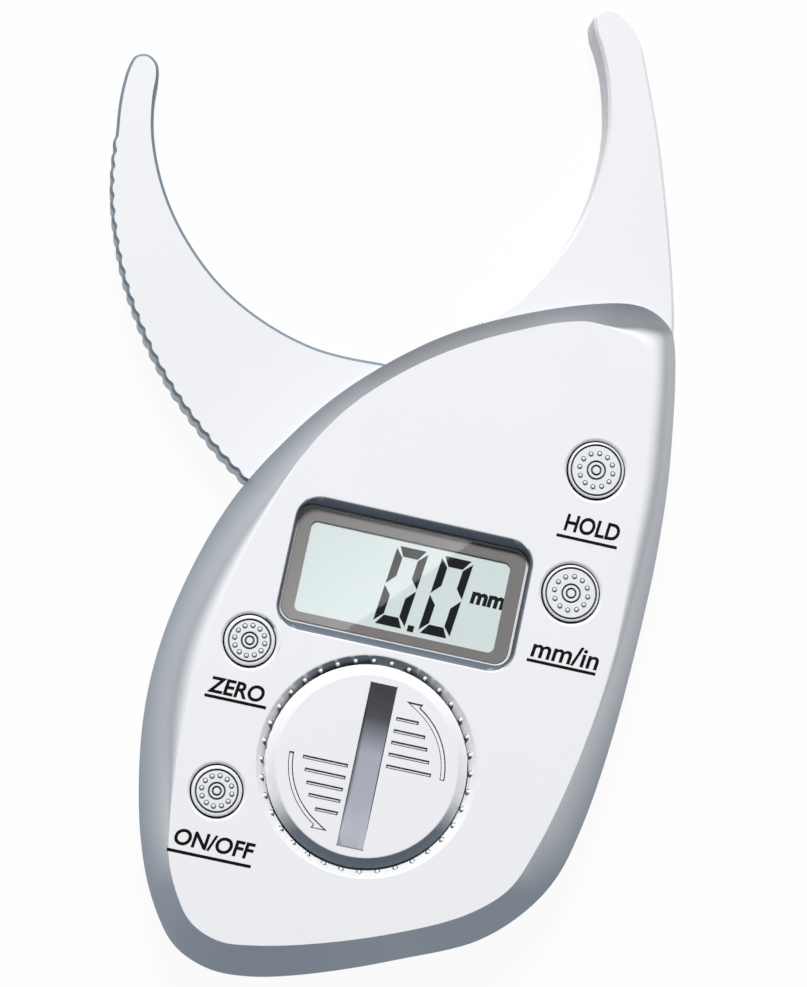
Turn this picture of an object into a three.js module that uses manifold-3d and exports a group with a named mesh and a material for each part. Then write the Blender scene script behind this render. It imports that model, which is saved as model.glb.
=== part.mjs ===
// Digital skinfold caliper: a moulded two-part case with a fixed jaw, a sprung thumb jaw,
// a display, four push buttons and a coin-cell lid that turns off with a coin.
// Millimetres. X runs along the display, Y towards the jaws, Z out of the face.
// The origin is the pivot of the moving jaw, on the flat back of the case.
import * as THREE from 'three';
import { mergeVertices } from 'three/addons/utils/BufferGeometryUtils.js';
import Module from 'manifold-3d';

const wasm = await Module();
wasm.setup();

// Plastic walls, gaps and the overrun of a cut
const wall = 2.0;
const floorWall = 2.0;
const fitGap = 0.3;
const runGap = 0.4;
const overrun = 1.0;
const weldTolerance = 0.0001;

// Jaws: reach is from the pivot to the contact point of a tip
const jawReach = 97.9;
const jawThickness = 9.0;
const jawSkin = 2.2;
const jawRim = 1.8;
const jawRib = 1.6;
const jawEdge = 0.6;
const fixedTipShare = 1.0787;
const jawSweep = 52;
const thumbRibPitch = 3.15;
const thumbRibDepth = 0.4;

// Pivot and return spring
const hubRadius = 24.3;
const hubPockets = 6;
const pivotRadius = 4.0;
const pivotClearance = 0.15;
const pivotBed = 0.9;
const pivotScrewRadius = 1.5;
const pivotScrewLength = 4.6;
const pivotHeadRadius = 2.9;
const pivotHeadHeight = 1.7;
const washerRadius = 4.9;
const washerThickness = 0.5;
const springWire = 0.9;
const springRadius = 6.6;
const springPitch = 1.3;
const springTurns = 2;
const springFoot = 2.2;
const springArm = 5.0;

// Angle sensor strip let into the top of the hub
const sensorMargin = 2.8;
const sensorWidth = 8.0;
const sensorThickness = 0.8;
const sensorFromDegrees = 190;
const sensorDegrees = 130;

// Display
const windowWidth = 45.9;
const windowHeight = 22.8;
const windowCorner = 3.0;
const windowThickness = 1.2;
const windowRecess = 1.5;
const windowSlope = 1.5;
const windowSideSlope = 0.3;
const windowLedge = 1.7;
const windowShelf = 1.0;
const windowFrame = 1.6;
const windowDrop = 20.0;
const lcdThickness = 2.6;
const lcdMargin = 0.5;
const zebraWidth = 2.2;

// Buttons and switches
const wideButton = 11.1;
const smallButton = 9.8;
const buttonGap = 0.3;
const buttonProud = 0.4;
const buttonEdge = 0.5;
const buttonSkin = 1.1;
const buttonLip = 0.8;
const buttonLipHeight = 0.9;
const buttonGroove = 0.35;
const buttonCentre = 1.8;
const dishWidth = 0.8;
const dishDepth = 0.4;
const guideWall = 1.1;
const switchSide = 6.0;
const switchHeight = 3.5;
const plungerRadius = 1.7;
const plungerRise = 0.6;
const plungerDepth = 1.2;

// Battery lid, its bayonet, and the coin cell
const lidDiameter = 39.2;
const lidDepth = 5.0;
const lidProud = 0.3;
const lidBevel = 1.2;
const seatBevel = 1.5;
const lidNeck = 1.4;
const lugHeight = 1.1;
const ledgeHeight = 1.1;
const lugCount = 3;
const lugFrom = 90;
const lugDegrees = 22;
const notchDegrees = 27;
const lidTurn = 30;
const lidCoreInner = 11.0;
const lidCoreOuter = 15.6;
const lidCoreDepth = 1.8;
const slotWidth = 5.25;
const slotLength = 31.8;
const slotDepth = 2.6;
const cellDiameter = 20.0;
const cellHeight = 3.2;
const cellStep = 0.4;
const holderFloor = 1.0;
const holderWall = 1.8;
const clipWidth = 5.0;
const clipSheet = 0.4;
const clipFoot = 4.0;
const contactWidth = 4.0;
const contactSpan = 9.0;

// Circuit board and the chip under its blob of resin
const boardThickness = 1.2;
const sensorAir = 0.5;
const boardInset = 7.4;
const boardTop = 21.0;
const chipRadius = 4.0;
const chipHeight = 1.5;

// Screws and their posts
const caseScrewRadius = 1.3;
const caseScrewHead = 2.5;
const caseScrewHeadHeight = 1.8;
const caseScrewBite = 5.5;
const headSink = 0.8;
const postWall = 1.5;
const boardScrewRadius = 1.0;
const boardScrewHead = 1.9;
const boardScrewHeadHeight = 1.2;
const boardScrewBite = 3.5;

// Case margins round the controls
const backRound = 4.5;
const backRise = 7.5;
const coverLip = 1.2;
const seam = 0.3;
const rightMargin = 12.05;
const leftMargin = 12.05;
const topMargin = 21.8;
const bottomMargin = 23.1;
const controlGap = 3.6;
const unitDrop = 6.2;
const holdPitch = 24.8;
const lidButtonGap = 0.95;
const windowLidGap = 3.2;
const powerDrop = 10.7;
const powerPitch = 29.5;

// Steps of round and curved shapes; an outline gets a corner for each turn step and length step
const fullTurn = 360;
const fineSteps = 10;
const caseTurnStep = 7;
const caseLengthStep = 14;
const liningTurnStep = 15;
const liningLengthStep = 24;
const bellySteps = 3;
const jawTurnStep = 7;
const jawLengthStep = 14;
const hollowSteps = 4;
const sweepSteps = 6;
const largeRound = 40;
const mediumRound = 20;
const buttonRound = 16;
const smallRound = 10;
const wireSides = 6;
const wireStepsPerTurn = 14;
const thumbSteps = 3;
const windowSteps = 4;

// Places of the controls
const seatRadius = lidDiameter / 2 + fitGap + seatBevel;
const windowY = -windowDrop;
const lidY = windowY - windowHeight / 2 - windowLidGap - seatRadius;
const rightX = windowWidth / 2 + controlGap + wideButton / 2;
const leftX = -(seatRadius + lidButtonGap + smallButton / 2);
const unitY = windowY + windowHeight / 2 - unitDrop;
const holdY = unitY + holdPitch;
const powerY = lidY - powerDrop;
const zeroY = powerY + powerPitch;
const controls = [
  { name: 'hold', x: rightX, y: holdY, diameter: wideButton },
  { name: 'unit', x: rightX, y: unitY, diameter: wideButton },
  { name: 'zero', x: leftX, y: zeroY, diameter: smallButton },
  { name: 'power', x: leftX, y: powerY, diameter: smallButton },
];

// Angle sensor strip, near the rim of the hub
const sensorOuter = hubRadius - sensorMargin;
const sensorInner = sensorOuter - sensorWidth;

// Reach of the case from the pivot
const rightReach = rightX + wideButton / 2 + rightMargin;
const leftReach = -leftX + smallButton / 2 + leftMargin;
const topReach = hubRadius + topMargin;
const bottomReach = -lidY + seatRadius + bottomMargin;
const tipAboveCase = jawReach * fixedTipShare - topReach;

// Heights through the case, from the back
const jawLow = floorWall + runGap;
const jawHigh = jawLow + jawThickness;
const split = jawHigh + runGap;
const coverLow = split + seam;
const boardLow = jawHigh + sensorAir;
const boardHigh = boardLow + boardThickness;
const onBoard = boardHigh + fitGap;
const cellLow = onBoard + holderFloor + fitGap;
const lidLow = cellLow + cellHeight + fitGap;
const lidHigh = lidLow + lidDepth;
const faceTop = lidHigh - lidProud;
const faceUnder = faceTop - wall;
const windowHigh = faceTop - windowRecess;
const windowLow = windowHigh - windowThickness;
const shelfLow = windowLow - fitGap - windowShelf;
const lcdHigh = shelfLow - fitGap;
const lcdLow = lcdHigh - lcdThickness;
const plungerHigh = onBoard + switchHeight + plungerRise;
const buttonLow = plungerHigh + fitGap;
const guideLow = buttonLow + buttonLipHeight + fitGap;
const ledgeLow = lidLow + lugHeight + fitGap;
const ledgeHigh = ledgeLow + ledgeHeight;
const lidDiscLow = ledgeHigh + fitGap;

// Outline of the case, counter-clockwise from the right: x and y of the rim, then x and y of
// the edge of the front face, each as a share of the reach on its own side
const caseShares = [
  [0.984, -0.045, 0.854, -0.048],
  [0.969, 0.259, 0.845, 0.174],
  [0.929, 0.584, 0.817, 0.477],
  [0.892, 0.812, 0.793, 0.672],
  [0.851, 0.93, 0.757, 0.768],
  [0.777, 0.985, 0.696, 0.813],
  [0.68, 0.998, 0.616, 0.833],
  [0.503, 0.953, 0.474, 0.835],
  [0.243, 0.842, 0.205, 0.72],
  [0.003, 0.706, -0.017, 0.585],
  [-0.214, 0.55, -0.218, 0.437],
  [-0.45, 0.329, -0.404, 0.253],
  [-0.641, 0.083, -0.547, 0.035],
  [-0.816, -0.1, -0.664, -0.12],
  [-0.926, -0.245, -0.747, -0.26],
  [-0.99, -0.398, -0.803, -0.409],
  [-0.996, -0.537, -0.812, -0.542],
  [-0.942, -0.695, -0.798, -0.692],
  [-0.863, -0.815, -0.758, -0.804],
  [-0.772, -0.899, -0.694, -0.866],
  [-0.65, -0.967, -0.607, -0.915],
  [-0.485, -0.998, -0.474, -0.939],
  [-0.294, -0.997, -0.318, -0.934],
  [0.001, -0.963, -0.036, -0.904],
  [0.334, -0.899, 0.288, -0.847],
  [0.585, -0.841, 0.509, -0.791],
  [0.746, -0.768, 0.642, -0.73],
  [0.847, -0.687, 0.716, -0.643],
  [0.91, -0.566, 0.777, -0.533],
  [0.946, -0.437, 0.826, -0.408],
  [0.97, -0.279, 0.858, -0.269],
];

// How softly the slope runs over into the face at each of those points, from a crease to a
// full round
const softShares = [
  0.7, 0.9, 1, 1, 0.9, 0.5, 0.15, 0, 0, 0, 0, 0, 0.1, 0.3, 0.5, 0.6,
  0.5, 0.2, 0, 0, 0, 0, 0, 0, 0, 0, 0, 0, 0, 0.1, 0.35,
];

// Heights of the rings of the slope, as shares of its rise
const slopeShares = [0, 0.45, 0.74, 0.92, 1];

// Moving jaw as it stands open, from the hub along the inner edge, round the tip and back along
// the outer edge, as shares of the jaw's reach
const movingJawShares = [
  [-0.043, 0.236],
  [-0.133, 0.239],
  [-0.201, 0.236],
  [-0.278, 0.241],
  [-0.372, 0.266],
  [-0.463, 0.309],
  [-0.532, 0.36],
  [-0.601, 0.433],
  [-0.651, 0.511],
  [-0.686, 0.598],
  [-0.7, 0.674],
  [-0.703, 0.721],
  [-0.712, 0.744],
  [-0.734, 0.757],
  [-0.757, 0.749],
  [-0.766, 0.727],
  [-0.77, 0.674],
  [-0.767, 0.621],
  [-0.751, 0.486],
  [-0.726, 0.396],
  [-0.67, 0.271],
  [-0.567, 0.125],
  [-0.43, -0.003],
  [-0.35, -0.059],
  [-0.282, -0.104],
  [-0.2, -0.135],
];

// Stretch of the outer edge that carries the thumb ribs, as shares of that edge's points
const thumbFromShare = 0.742;
const thumbToShare = 0.945;

// Fixed jaw, from inside the case up the inner edge, round the tip and down the outer edge:
// x as a share of the right reach, y as a share of the jaw's height above the case
const fixedJawShares = [
  [0.23, -0.26],
  [0.088, -0.196],
  [0.217, -0.075],
  [0.303, 0.035],
  [0.397, 0.204],
  [0.442, 0.367],
  [0.45, 0.541],
  [0.429, 0.66],
  [0.392, 0.77],
  [0.352, 0.846],
  [0.306, 0.919],
  [0.3, 0.963],
  [0.34, 0.995],
  [0.393, 0.992],
  [0.435, 0.971],
  [0.512, 0.892],
  [0.553, 0.815],
  [0.609, 0.701],
  [0.675, 0.554],
  [0.798, 0.223],
  [0.851, 0.057],
  [0.877, -0.044],
  [0.902, -0.25],
];

// Screw posts of the case, as shares of the reaches
const postShares = [
  [0.725, 0.7],
  [0.775, -0.36],
  [0.565, -0.745],
  [-0.59, -0.882],
  [-0.7, -0.24],
];

// Hollows in the back of each jaw, as pairs of shares along its length
const movingHollowShares = [
  [0.2, 0.33],
  [0.33, 0.44],
  [0.44, 0.55],
  [0.55, 0.66],
  [0.66, 0.78],
  [0.78, 0.9],
];
const fixedHollowShares = [
  [0.26, 0.38],
  [0.38, 0.5],
  [0.5, 0.62],
  [0.62, 0.75],
  [0.75, 0.89],
];

// Materials
const plastics = {
  shell: { color: 0xeceef1, roughness: 0.42, metalness: 0 },
  jaw: { color: 0xe6e7ea, roughness: 0.46, metalness: 0 },
  button: { color: 0xdfe1e4, roughness: 0.4, metalness: 0 },
  window: { color: 0x86827e, roughness: 0.08, metalness: 0 },
  glass: { color: 0xd9e4e4, roughness: 0.15, metalness: 0 },
  board: { color: 0x2f6b45, roughness: 0.55, metalness: 0 },
  black: { color: 0x1d1e20, roughness: 0.6, metalness: 0 },
  rubber: { color: 0xd88aa0, roughness: 0.8, metalness: 0 },
  steel: { color: 0xb9bcc0, roughness: 0.3, metalness: 1 },
  brass: { color: 0xc9a558, roughness: 0.35, metalness: 1 },
};

const group = new THREE.Group();

// Helpers that turn meshes into solids and back

// Keeps only positions, welds them, drops empty faces and turns the faces outwards
function toSolid(geometry) {
  const bare = geometry.clone();
  bare.deleteAttribute('normal');
  bare.deleteAttribute('uv');
  const welded = mergeVertices(bare, weldTolerance);
  const places = welded.attributes.position.array;
  const faces = [];
  let volume = 0;
  const index = welded.index.array;
  for (let i = 0; i < index.length; i += 3) {
    const [a, b, c] = [index[i], index[i + 1], index[i + 2]];
    if (a === b || b === c || a === c) continue;
    faces.push([a, b, c]);
    const corners = [a, b, c].map((k) => new THREE.Vector3().fromArray(places, k * 3));
    volume += corners[0].dot(corners[1].cross(corners[2]));
  }
  const turned = volume < 0 ? faces.map(([a, b, c]) => [a, c, b]) : faces;
  return new wasm.Manifold(new wasm.Mesh({
    numProp: 3,
    vertProperties: new Float32Array(places),
    triVerts: new Uint32Array(turned.flat()),
  }));
}

function toGeometry(solid) {
  const mesh = solid.getMesh();
  const geometry = new THREE.BufferGeometry();
  geometry.setAttribute('position', new THREE.BufferAttribute(mesh.vertProperties, mesh.numProp));
  geometry.setIndex(new THREE.BufferAttribute(mesh.triVerts, 1));
  geometry.computeVertexNormals();
  return geometry;
}

// Adds one named piece to the group
function addPiece(name, solid, plastic) {
  const mesh = new THREE.Mesh(toGeometry(solid), new THREE.MeshStandardMaterial(plastic));
  mesh.name = name;
  group.add(mesh);
  return mesh;
}

function joined(first, ...rest) {
  return rest.reduce((sum, solid) => sum.add(solid), first);
}

function cut(first, ...rest) {
  return rest.reduce((left, solid) => left.subtract(solid), first);
}

// Helpers for outlines

const radians = (degrees) => THREE.MathUtils.degToRad(degrees);

function polar(radius, degrees, x = 0, y = 0) {
  return new THREE.Vector2(
    x + radius * Math.cos(radians(degrees)),
    y + radius * Math.sin(radians(degrees)),
  );
}

// Smooth curve through points, closed or open
function smoothCurve(points, closed) {
  const places = points.map((p) => new THREE.Vector3(p.x, p.y, 0));
  return new THREE.CatmullRomCurve3(places, closed, 'centripetal');
}

function pointsAt(curve, places) {
  return places.map((place) => {
    const point = curve.getPoint(place);
    return new THREE.Vector2(point.x, point.y);
  });
}

// Places along a curve, from 0 to 1, that lie closer together where the curve turns
function evenPlaces(curve, turnStep, lengthStep) {
  const count = curve.points.length * fineSteps;
  const samples = Array.from({ length: count + 1 }, (_, i) => curve.getPoint(i / count));
  const sums = [0];
  for (let i = 0; i < count; i += 1) {
    const along = samples[i + 1].clone().sub(samples[i]);
    const before = i > 0 ? samples[i].clone().sub(samples[i - 1]) : along;
    const turn = THREE.MathUtils.radToDeg(before.angleTo(along));
    sums.push(sums[i] + along.length() / lengthStep + turn / turnStep);
  }
  const parts = Math.round(sums[count]);
  return Array.from({ length: curve.closed ? parts : parts + 1 }, (_, k) => {
    const target = sums[count] * k / parts;
    const i = Math.min(sums.findLastIndex((sum) => sum <= target), count - 1);
    return Math.min((i + (target - sums[i]) / (sums[i + 1] - sums[i])) / count, 1);
  });
}

// Left-hand normal of each point of an outline
function normals(points, closed) {
  const last = points.length - 1;
  return points.map((point, i) => {
    const before = points[i > 0 ? i - 1 : (closed ? last : 0)];
    const after = points[i < last ? i + 1 : (closed ? 0 : last)];
    const along = after.clone().sub(before).normalize();
    return new THREE.Vector2(-along.y, along.x);
  });
}

// Moves a counter-clockwise outline inwards
function inset(points, distance) {
  const inward = normals(points, true);
  return points.map((point, i) => point.clone().addScaledVector(inward[i], distance));
}

function roundedRect(width, height, corner, x, y) {
  const [w, h] = [width / 2, height / 2];
  const shape = new THREE.Shape();
  shape.absarc(x + w - corner, y + h - corner, corner, 0, Math.PI / 2);
  shape.absarc(x - w + corner, y + h - corner, corner, Math.PI / 2, Math.PI);
  shape.absarc(x - w + corner, y - h + corner, corner, Math.PI, Math.PI * 3 / 2);
  shape.absarc(x + w - corner, y - h + corner, corner, Math.PI * 3 / 2, Math.PI * 2);
  return shape;
}

function ringSector(inner, outer, from, span, steps) {
  const points = [];
  for (let i = 0; i <= steps; i += 1) points.push(polar(outer, from + span * i / steps));
  for (let i = steps; i >= 0; i -= 1) points.push(polar(inner, from + span * i / steps));
  return points;
}

// Helpers for solids

// Straight prism of an outline or a shape
function prism(outline, low, high, arcSteps = 4) {
  const shape = outline instanceof THREE.Shape ? outline : new THREE.Shape(outline);
  const options = { depth: high - low, bevelEnabled: false, curveSegments: arcSteps };
  const geometry = new THREE.ExtrudeGeometry(shape, options);
  geometry.translate(0, 0, low);
  return toSolid(geometry);
}

// Solid through outlines of equal count, each at its own height
function loft(rings) {
  const count = rings[0].points.length;
  const places = rings.flatMap(({ points, z }) => points.flatMap((p) => [p.x, p.y, z]));
  const faces = [];
  for (let r = 0; r < rings.length - 1; r += 1) {
    for (let i = 0; i < count; i += 1) {
      const [a, b] = [r * count + i, r * count + (i + 1) % count];
      faces.push(a, b, b + count, a, b + count, a + count);
    }
  }
  const top = (rings.length - 1) * count;
  for (const [a, b, c] of THREE.ShapeUtils.triangulateShape(rings[0].points, [])) {
    faces.push(c, b, a);
  }
  for (const [a, b, c] of THREE.ShapeUtils.triangulateShape(rings[rings.length - 1].points, [])) {
    faces.push(top + a, top + b, top + c);
  }
  const geometry = new THREE.BufferGeometry();
  geometry.setAttribute('position', new THREE.Float32BufferAttribute(places, 3));
  geometry.setIndex(faces);
  return toSolid(geometry);
}

// Turned solid: the profile is radius and height, from the axis round to the axis
function turned(profile, steps, x = 0, y = 0) {
  const geometry = new THREE.LatheGeometry(profile.map(([r, h]) => new THREE.Vector2(r, h)), steps);
  geometry.rotateX(Math.PI / 2);
  geometry.translate(x, y, 0);
  return toSolid(geometry);
}

function disc(radius, low, high, steps, x = 0, y = 0) {
  return turned([[0, low], [radius, low], [radius, high], [0, high]], steps, x, y);
}

// Box from its middle in X and Y, turned about the Z axis through a centre
function block(width, depth, low, high, x = 0, y = 0, degrees = 0, centreX = 0, centreY = 0) {
  const geometry = new THREE.BoxGeometry(width, depth, high - low);
  geometry.translate(x, y, (low + high) / 2);
  geometry.rotateZ(radians(degrees));
  geometry.translate(centreX, centreY, 0);
  return toSolid(geometry);
}

// Sheet folded along a path in Y and Z, of one width in X
function foldedSheet(path, width, x, y) {
  const shape = new THREE.Shape(path);
  const geometry = new THREE.ExtrudeGeometry(shape, { depth: width, bevelEnabled: false });
  geometry.translate(0, 0, -width / 2);
  geometry.rotateZ(Math.PI / 2);
  geometry.rotateY(Math.PI / 2);
  geometry.translate(x, y, 0);
  return toSolid(geometry);
}

// Case outlines

const reachX = (share) => share * (share > 0 ? rightReach : leftReach);
const reachY = (share) => share * (share > 0 ? topReach : bottomReach);
const rimPoints = caseShares.map(([x, y]) => new THREE.Vector2(reachX(x), reachY(y)));
const facePoints = caseShares.map(([, , x, y]) => new THREE.Vector2(reachX(x), reachY(y)));
const posts = postShares.map(([x, y]) => ({ x: reachX(x), y: reachY(y) }));

const rimCurve = smoothCurve(rimPoints, true);
const casePlaces = evenPlaces(rimCurve, caseTurnStep, caseLengthStep);
const liningPlaces = evenPlaces(rimCurve, liningTurnStep, liningLengthStep);

const atRim = () => 0;
const atFace = () => 1;

// Ring of the case, pulled in by a wall: across gives how far each of its points has come from
// the rim to the edge of the face
function caseRing(across, z, pull, places) {
  const rim = inset(rimPoints, pull);
  const face = inset(facePoints, pull);
  const points = rim.map((point, i) => point.clone().lerp(face[i], across(i)));
  return { points: pointsAt(smoothCurve(points, true), places), z };
}

// Ring of the slope at a share of its rise: on a straight slope where the crease is sharp, and
// on a quarter round where it is soft
function slopeRing(rise) {
  const round = 1 - Math.sqrt(1 - rise * rise);
  const across = (i) => THREE.MathUtils.lerp(rise, round, softShares[i]);
  const low = coverLow + coverLip;
  return caseRing(across, low + (faceTop - low) * rise, 0, casePlaces);
}

// Jaws

// Hollows in the back of a jaw: patches of the space between its inner and its outer edge, each
// between two shares of the way to the tip, with a rib left between neighbours
function jawHollows(anchors, tipIndex, ranges) {
  const edges = [anchors.slice(0, tipIndex + 1), anchors.slice(tipIndex).reverse()]
    .map((side) => smoothCurve(side, false));
  return ranges.map(([from, to]) => {
    const sides = [[], []];
    for (let i = 0; i <= hollowSteps; i += 1) {
      const [inner, outer] = edges.map((edge) => {
        const half = jawRib / 2 / edge.getLength();
        return edge.getPointAt(THREE.MathUtils.lerp(from + half, to - half, i / hollowSteps));
      });
      const across = outer.clone().sub(inner).normalize();
      sides[0].push(inner.addScaledVector(across, jawRim));
      sides[1].push(outer.addScaledVector(across, -jawRim));
    }
    const outline = [...sides[0], ...sides[1].reverse()].map((p) => new THREE.Vector2(p.x, p.y));
    return prism(outline, jawLow - overrun, jawHigh - jawSkin);
  });
}

const movingAnchors = movingJawShares.map(([x, y]) => new THREE.Vector2(x * jawReach, y * jawReach));
const movingTip = 13;

// Outline of the moving jaw with the thumb ribs on its outer edge
function thumbOutline() {
  const whole = smoothCurve(movingAnchors, false);
  const plain = pointsAt(whole, evenPlaces(whole, jawTurnStep, jawLengthStep));
  const from = Math.round(thumbFromShare * (plain.length - 1));
  const to = Math.round(thumbToShare * (plain.length - 1));
  const stretch = new THREE.CatmullRomCurve3(
    plain.slice(from, to + 1).map((p) => new THREE.Vector3(p.x, p.y, 0)),
  );
  const ribs = Math.round(stretch.getLength() / thumbRibPitch);
  const count = ribs * thumbSteps;
  const fine = stretch.getSpacedPoints(count).map((p) => new THREE.Vector2(p.x, p.y));
  const outward = normals(fine, false);
  const ribbed = fine.map((point, i) => {
    const lift = Math.sin(Math.PI * (i % thumbSteps) / thumbSteps);
    return point.clone().addScaledVector(outward[i], -thumbRibDepth * (lift - 1 / 2));
  });
  return [...plain.slice(0, from), ...ribbed, ...plain.slice(to + 1)];
}

// Jaw plate with its edges broken at the front and the back
function jawPlate(points) {
  const pulled = inset(points, jawEdge);
  return loft([
    { points: pulled, z: jawLow },
    { points, z: jawLow + jawEdge },
    { points, z: jawHigh - jawEdge },
    { points: pulled, z: jawHigh },
  ]);
}

// Levels of the pivot stack inside the hub
const pivotHeadLow = jawHigh - fitGap - pivotHeadHeight;
const washerLow = pivotHeadLow - fitGap - washerThickness;
const bossHigh = washerLow - fitGap;
const springLow = floorWall + fitGap;
const springHigh = springLow + springWire + springPitch * springTurns;
const springRoom = springRadius + springWire / 2 + pivotBed;
const screwTip = pivotHeadLow - pivotScrewLength;

function movingJaw() {
  const hub = turned([
    [0, jawLow],
    [hubRadius - jawEdge, jawLow],
    [hubRadius, jawLow + jawEdge],
    [hubRadius, jawHigh - jawEdge],
    [hubRadius - jawEdge, jawHigh],
    [0, jawHigh],
  ], largeRound);
  const plate = jawPlate(thumbOutline());
  const hollows = jawHollows(movingAnchors, movingTip, movingHollowShares);
  const pockets = Array.from({ length: hubPockets }, (_, i) => {
    const rim = hubRadius - jawRim;
    const rib = THREE.MathUtils.radToDeg(jawRib / rim);
    const pitch = fullTurn / hubPockets;
    const outline = ringSector(
      springRoom + springArm + jawRib, rim, pitch * i + rib / 2, pitch - rib, hollowSteps,
    );
    return prism(outline, jawLow - overrun, jawHigh - sensorThickness - fitGap - jawRib);
  });
  const bore = disc(pivotRadius + pivotClearance, jawLow - overrun, jawHigh, mediumRound);
  const screwWell = disc(washerRadius + fitGap, bossHigh, jawHigh + overrun, mediumRound);
  const springWell = disc(springRoom, jawLow - overrun, springHigh + fitGap, mediumRound);
  const armLength = springRoom + springArm - springRadius;
  const armSlot = block(
    armLength, springWire * 3, jawLow - overrun, springHigh + fitGap,
    springRadius + armLength / 2,
  );
  const sensorSlack = THREE.MathUtils.radToDeg(fitGap / sensorInner);
  const sensorBed = prism(
    ringSector(
      sensorInner - fitGap, sensorOuter + fitGap,
      sensorFromDegrees - sensorSlack, sensorDegrees + sensorSlack * 2, smallRound,
    ),
    jawHigh - sensorThickness - fitGap, jawHigh + overrun,
  );
  return cut(
    joined(hub, plate),
    ...hollows, ...pockets, bore, screwWell, springWell, armSlot, sensorBed,
  );
}

const fixedAnchors = fixedJawShares.map(([x, y]) => (
  new THREE.Vector2(x * rightReach, topReach + y * tipAboveCase)
));
const fixedTip = 12;

function fixedJaw() {
  const whole = smoothCurve(fixedAnchors, false);
  const outline = pointsAt(whole, evenPlaces(whole, jawTurnStep, jawLengthStep)).reverse();
  return cut(jawPlate(outline), ...jawHollows(fixedAnchors, fixedTip, fixedHollowShares));
}

// Space that the moving jaw sweeps inside the case, with its running gap
function jawSweepSpace() {
  const shape = new THREE.Shape(inset(movingAnchors, -runGap));
  const space = [disc(hubRadius + runGap, floorWall, split + overrun, largeRound)];
  for (let i = 0; i <= sweepSteps; i += 1) {
    const geometry = new THREE.ExtrudeGeometry(shape, {
      depth: split + overrun - floorWall,
      bevelEnabled: false,
    });
    geometry.translate(0, 0, floorWall);
    geometry.rotateZ(radians(-jawSweep * i / sweepSteps));
    space.push(toSolid(geometry));
  }
  return space;
}

// Back cover with the fixed jaw

const headSeat = headSink + caseScrewHeadHeight + fitGap;
const postRadius = caseScrewHead + fitGap + postWall;

function backCover() {
  const belly = (round, rise, low, pull, steps, places) => (
    Array.from({ length: steps + 1 }, (_, i) => {
      const turn = Math.PI / 2 * i / steps;
      const drawn = round * (1 - Math.sin(turn));
      return caseRing(atRim, low + rise * (1 - Math.cos(turn)), pull + drawn, places);
    })
  );
  const outer = loft([
    ...belly(backRound, backRise, 0, 0, bellySteps, casePlaces),
    caseRing(atRim, split, 0, casePlaces),
  ]);
  const inner = loft([
    ...belly(backRound / 2, backRise - floorWall, floorWall, wall, 1, liningPlaces),
    caseRing(atRim, split + overrun, wall, liningPlaces),
  ]);
  const shell = cut(outer, inner, ...jawSweepSpace());
  const boss = disc(pivotRadius, floorWall - fitGap, bossHigh, mediumRound);
  const screwPosts = posts.map(({ x, y }) => (
    disc(postRadius, floorWall - fitGap, split, smallRound, x, y)
  ));
  const screwHoles = posts.flatMap(({ x, y }) => [
    disc(caseScrewHead + fitGap, -overrun, headSeat, smallRound, x, y),
    disc(caseScrewRadius + fitGap, 0, split + overrun, smallRound, x, y),
  ]);
  const pilot = disc(
    pivotScrewRadius + fitGap, screwTip - fitGap, bossHigh + overrun, smallRound,
  );
  const springSlot = block(
    pivotRadius - springFoot + overrun, springWire + fitGap * 2,
    floorWall, springLow + springWire + fitGap,
    springFoot - fitGap + (pivotRadius - springFoot + overrun) / 2,
  );
  return cut(
    joined(shell, boss, fixedJaw(), ...screwPosts),
    ...screwHoles, pilot, springSlot,
  );
}

// Front cover

const boltBoss = boardScrewRadius + fitGap + postWall;
const skirtRadius = lidDiameter / 2 + fitGap + wall;
const lidSwing = skirtRadius + boltBoss + fitGap;
const boardScrewAngles = [55, 125, 270];
const boardScrews = boardScrewAngles.map((degrees) => polar(lidSwing, degrees, 0, lidY));

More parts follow.
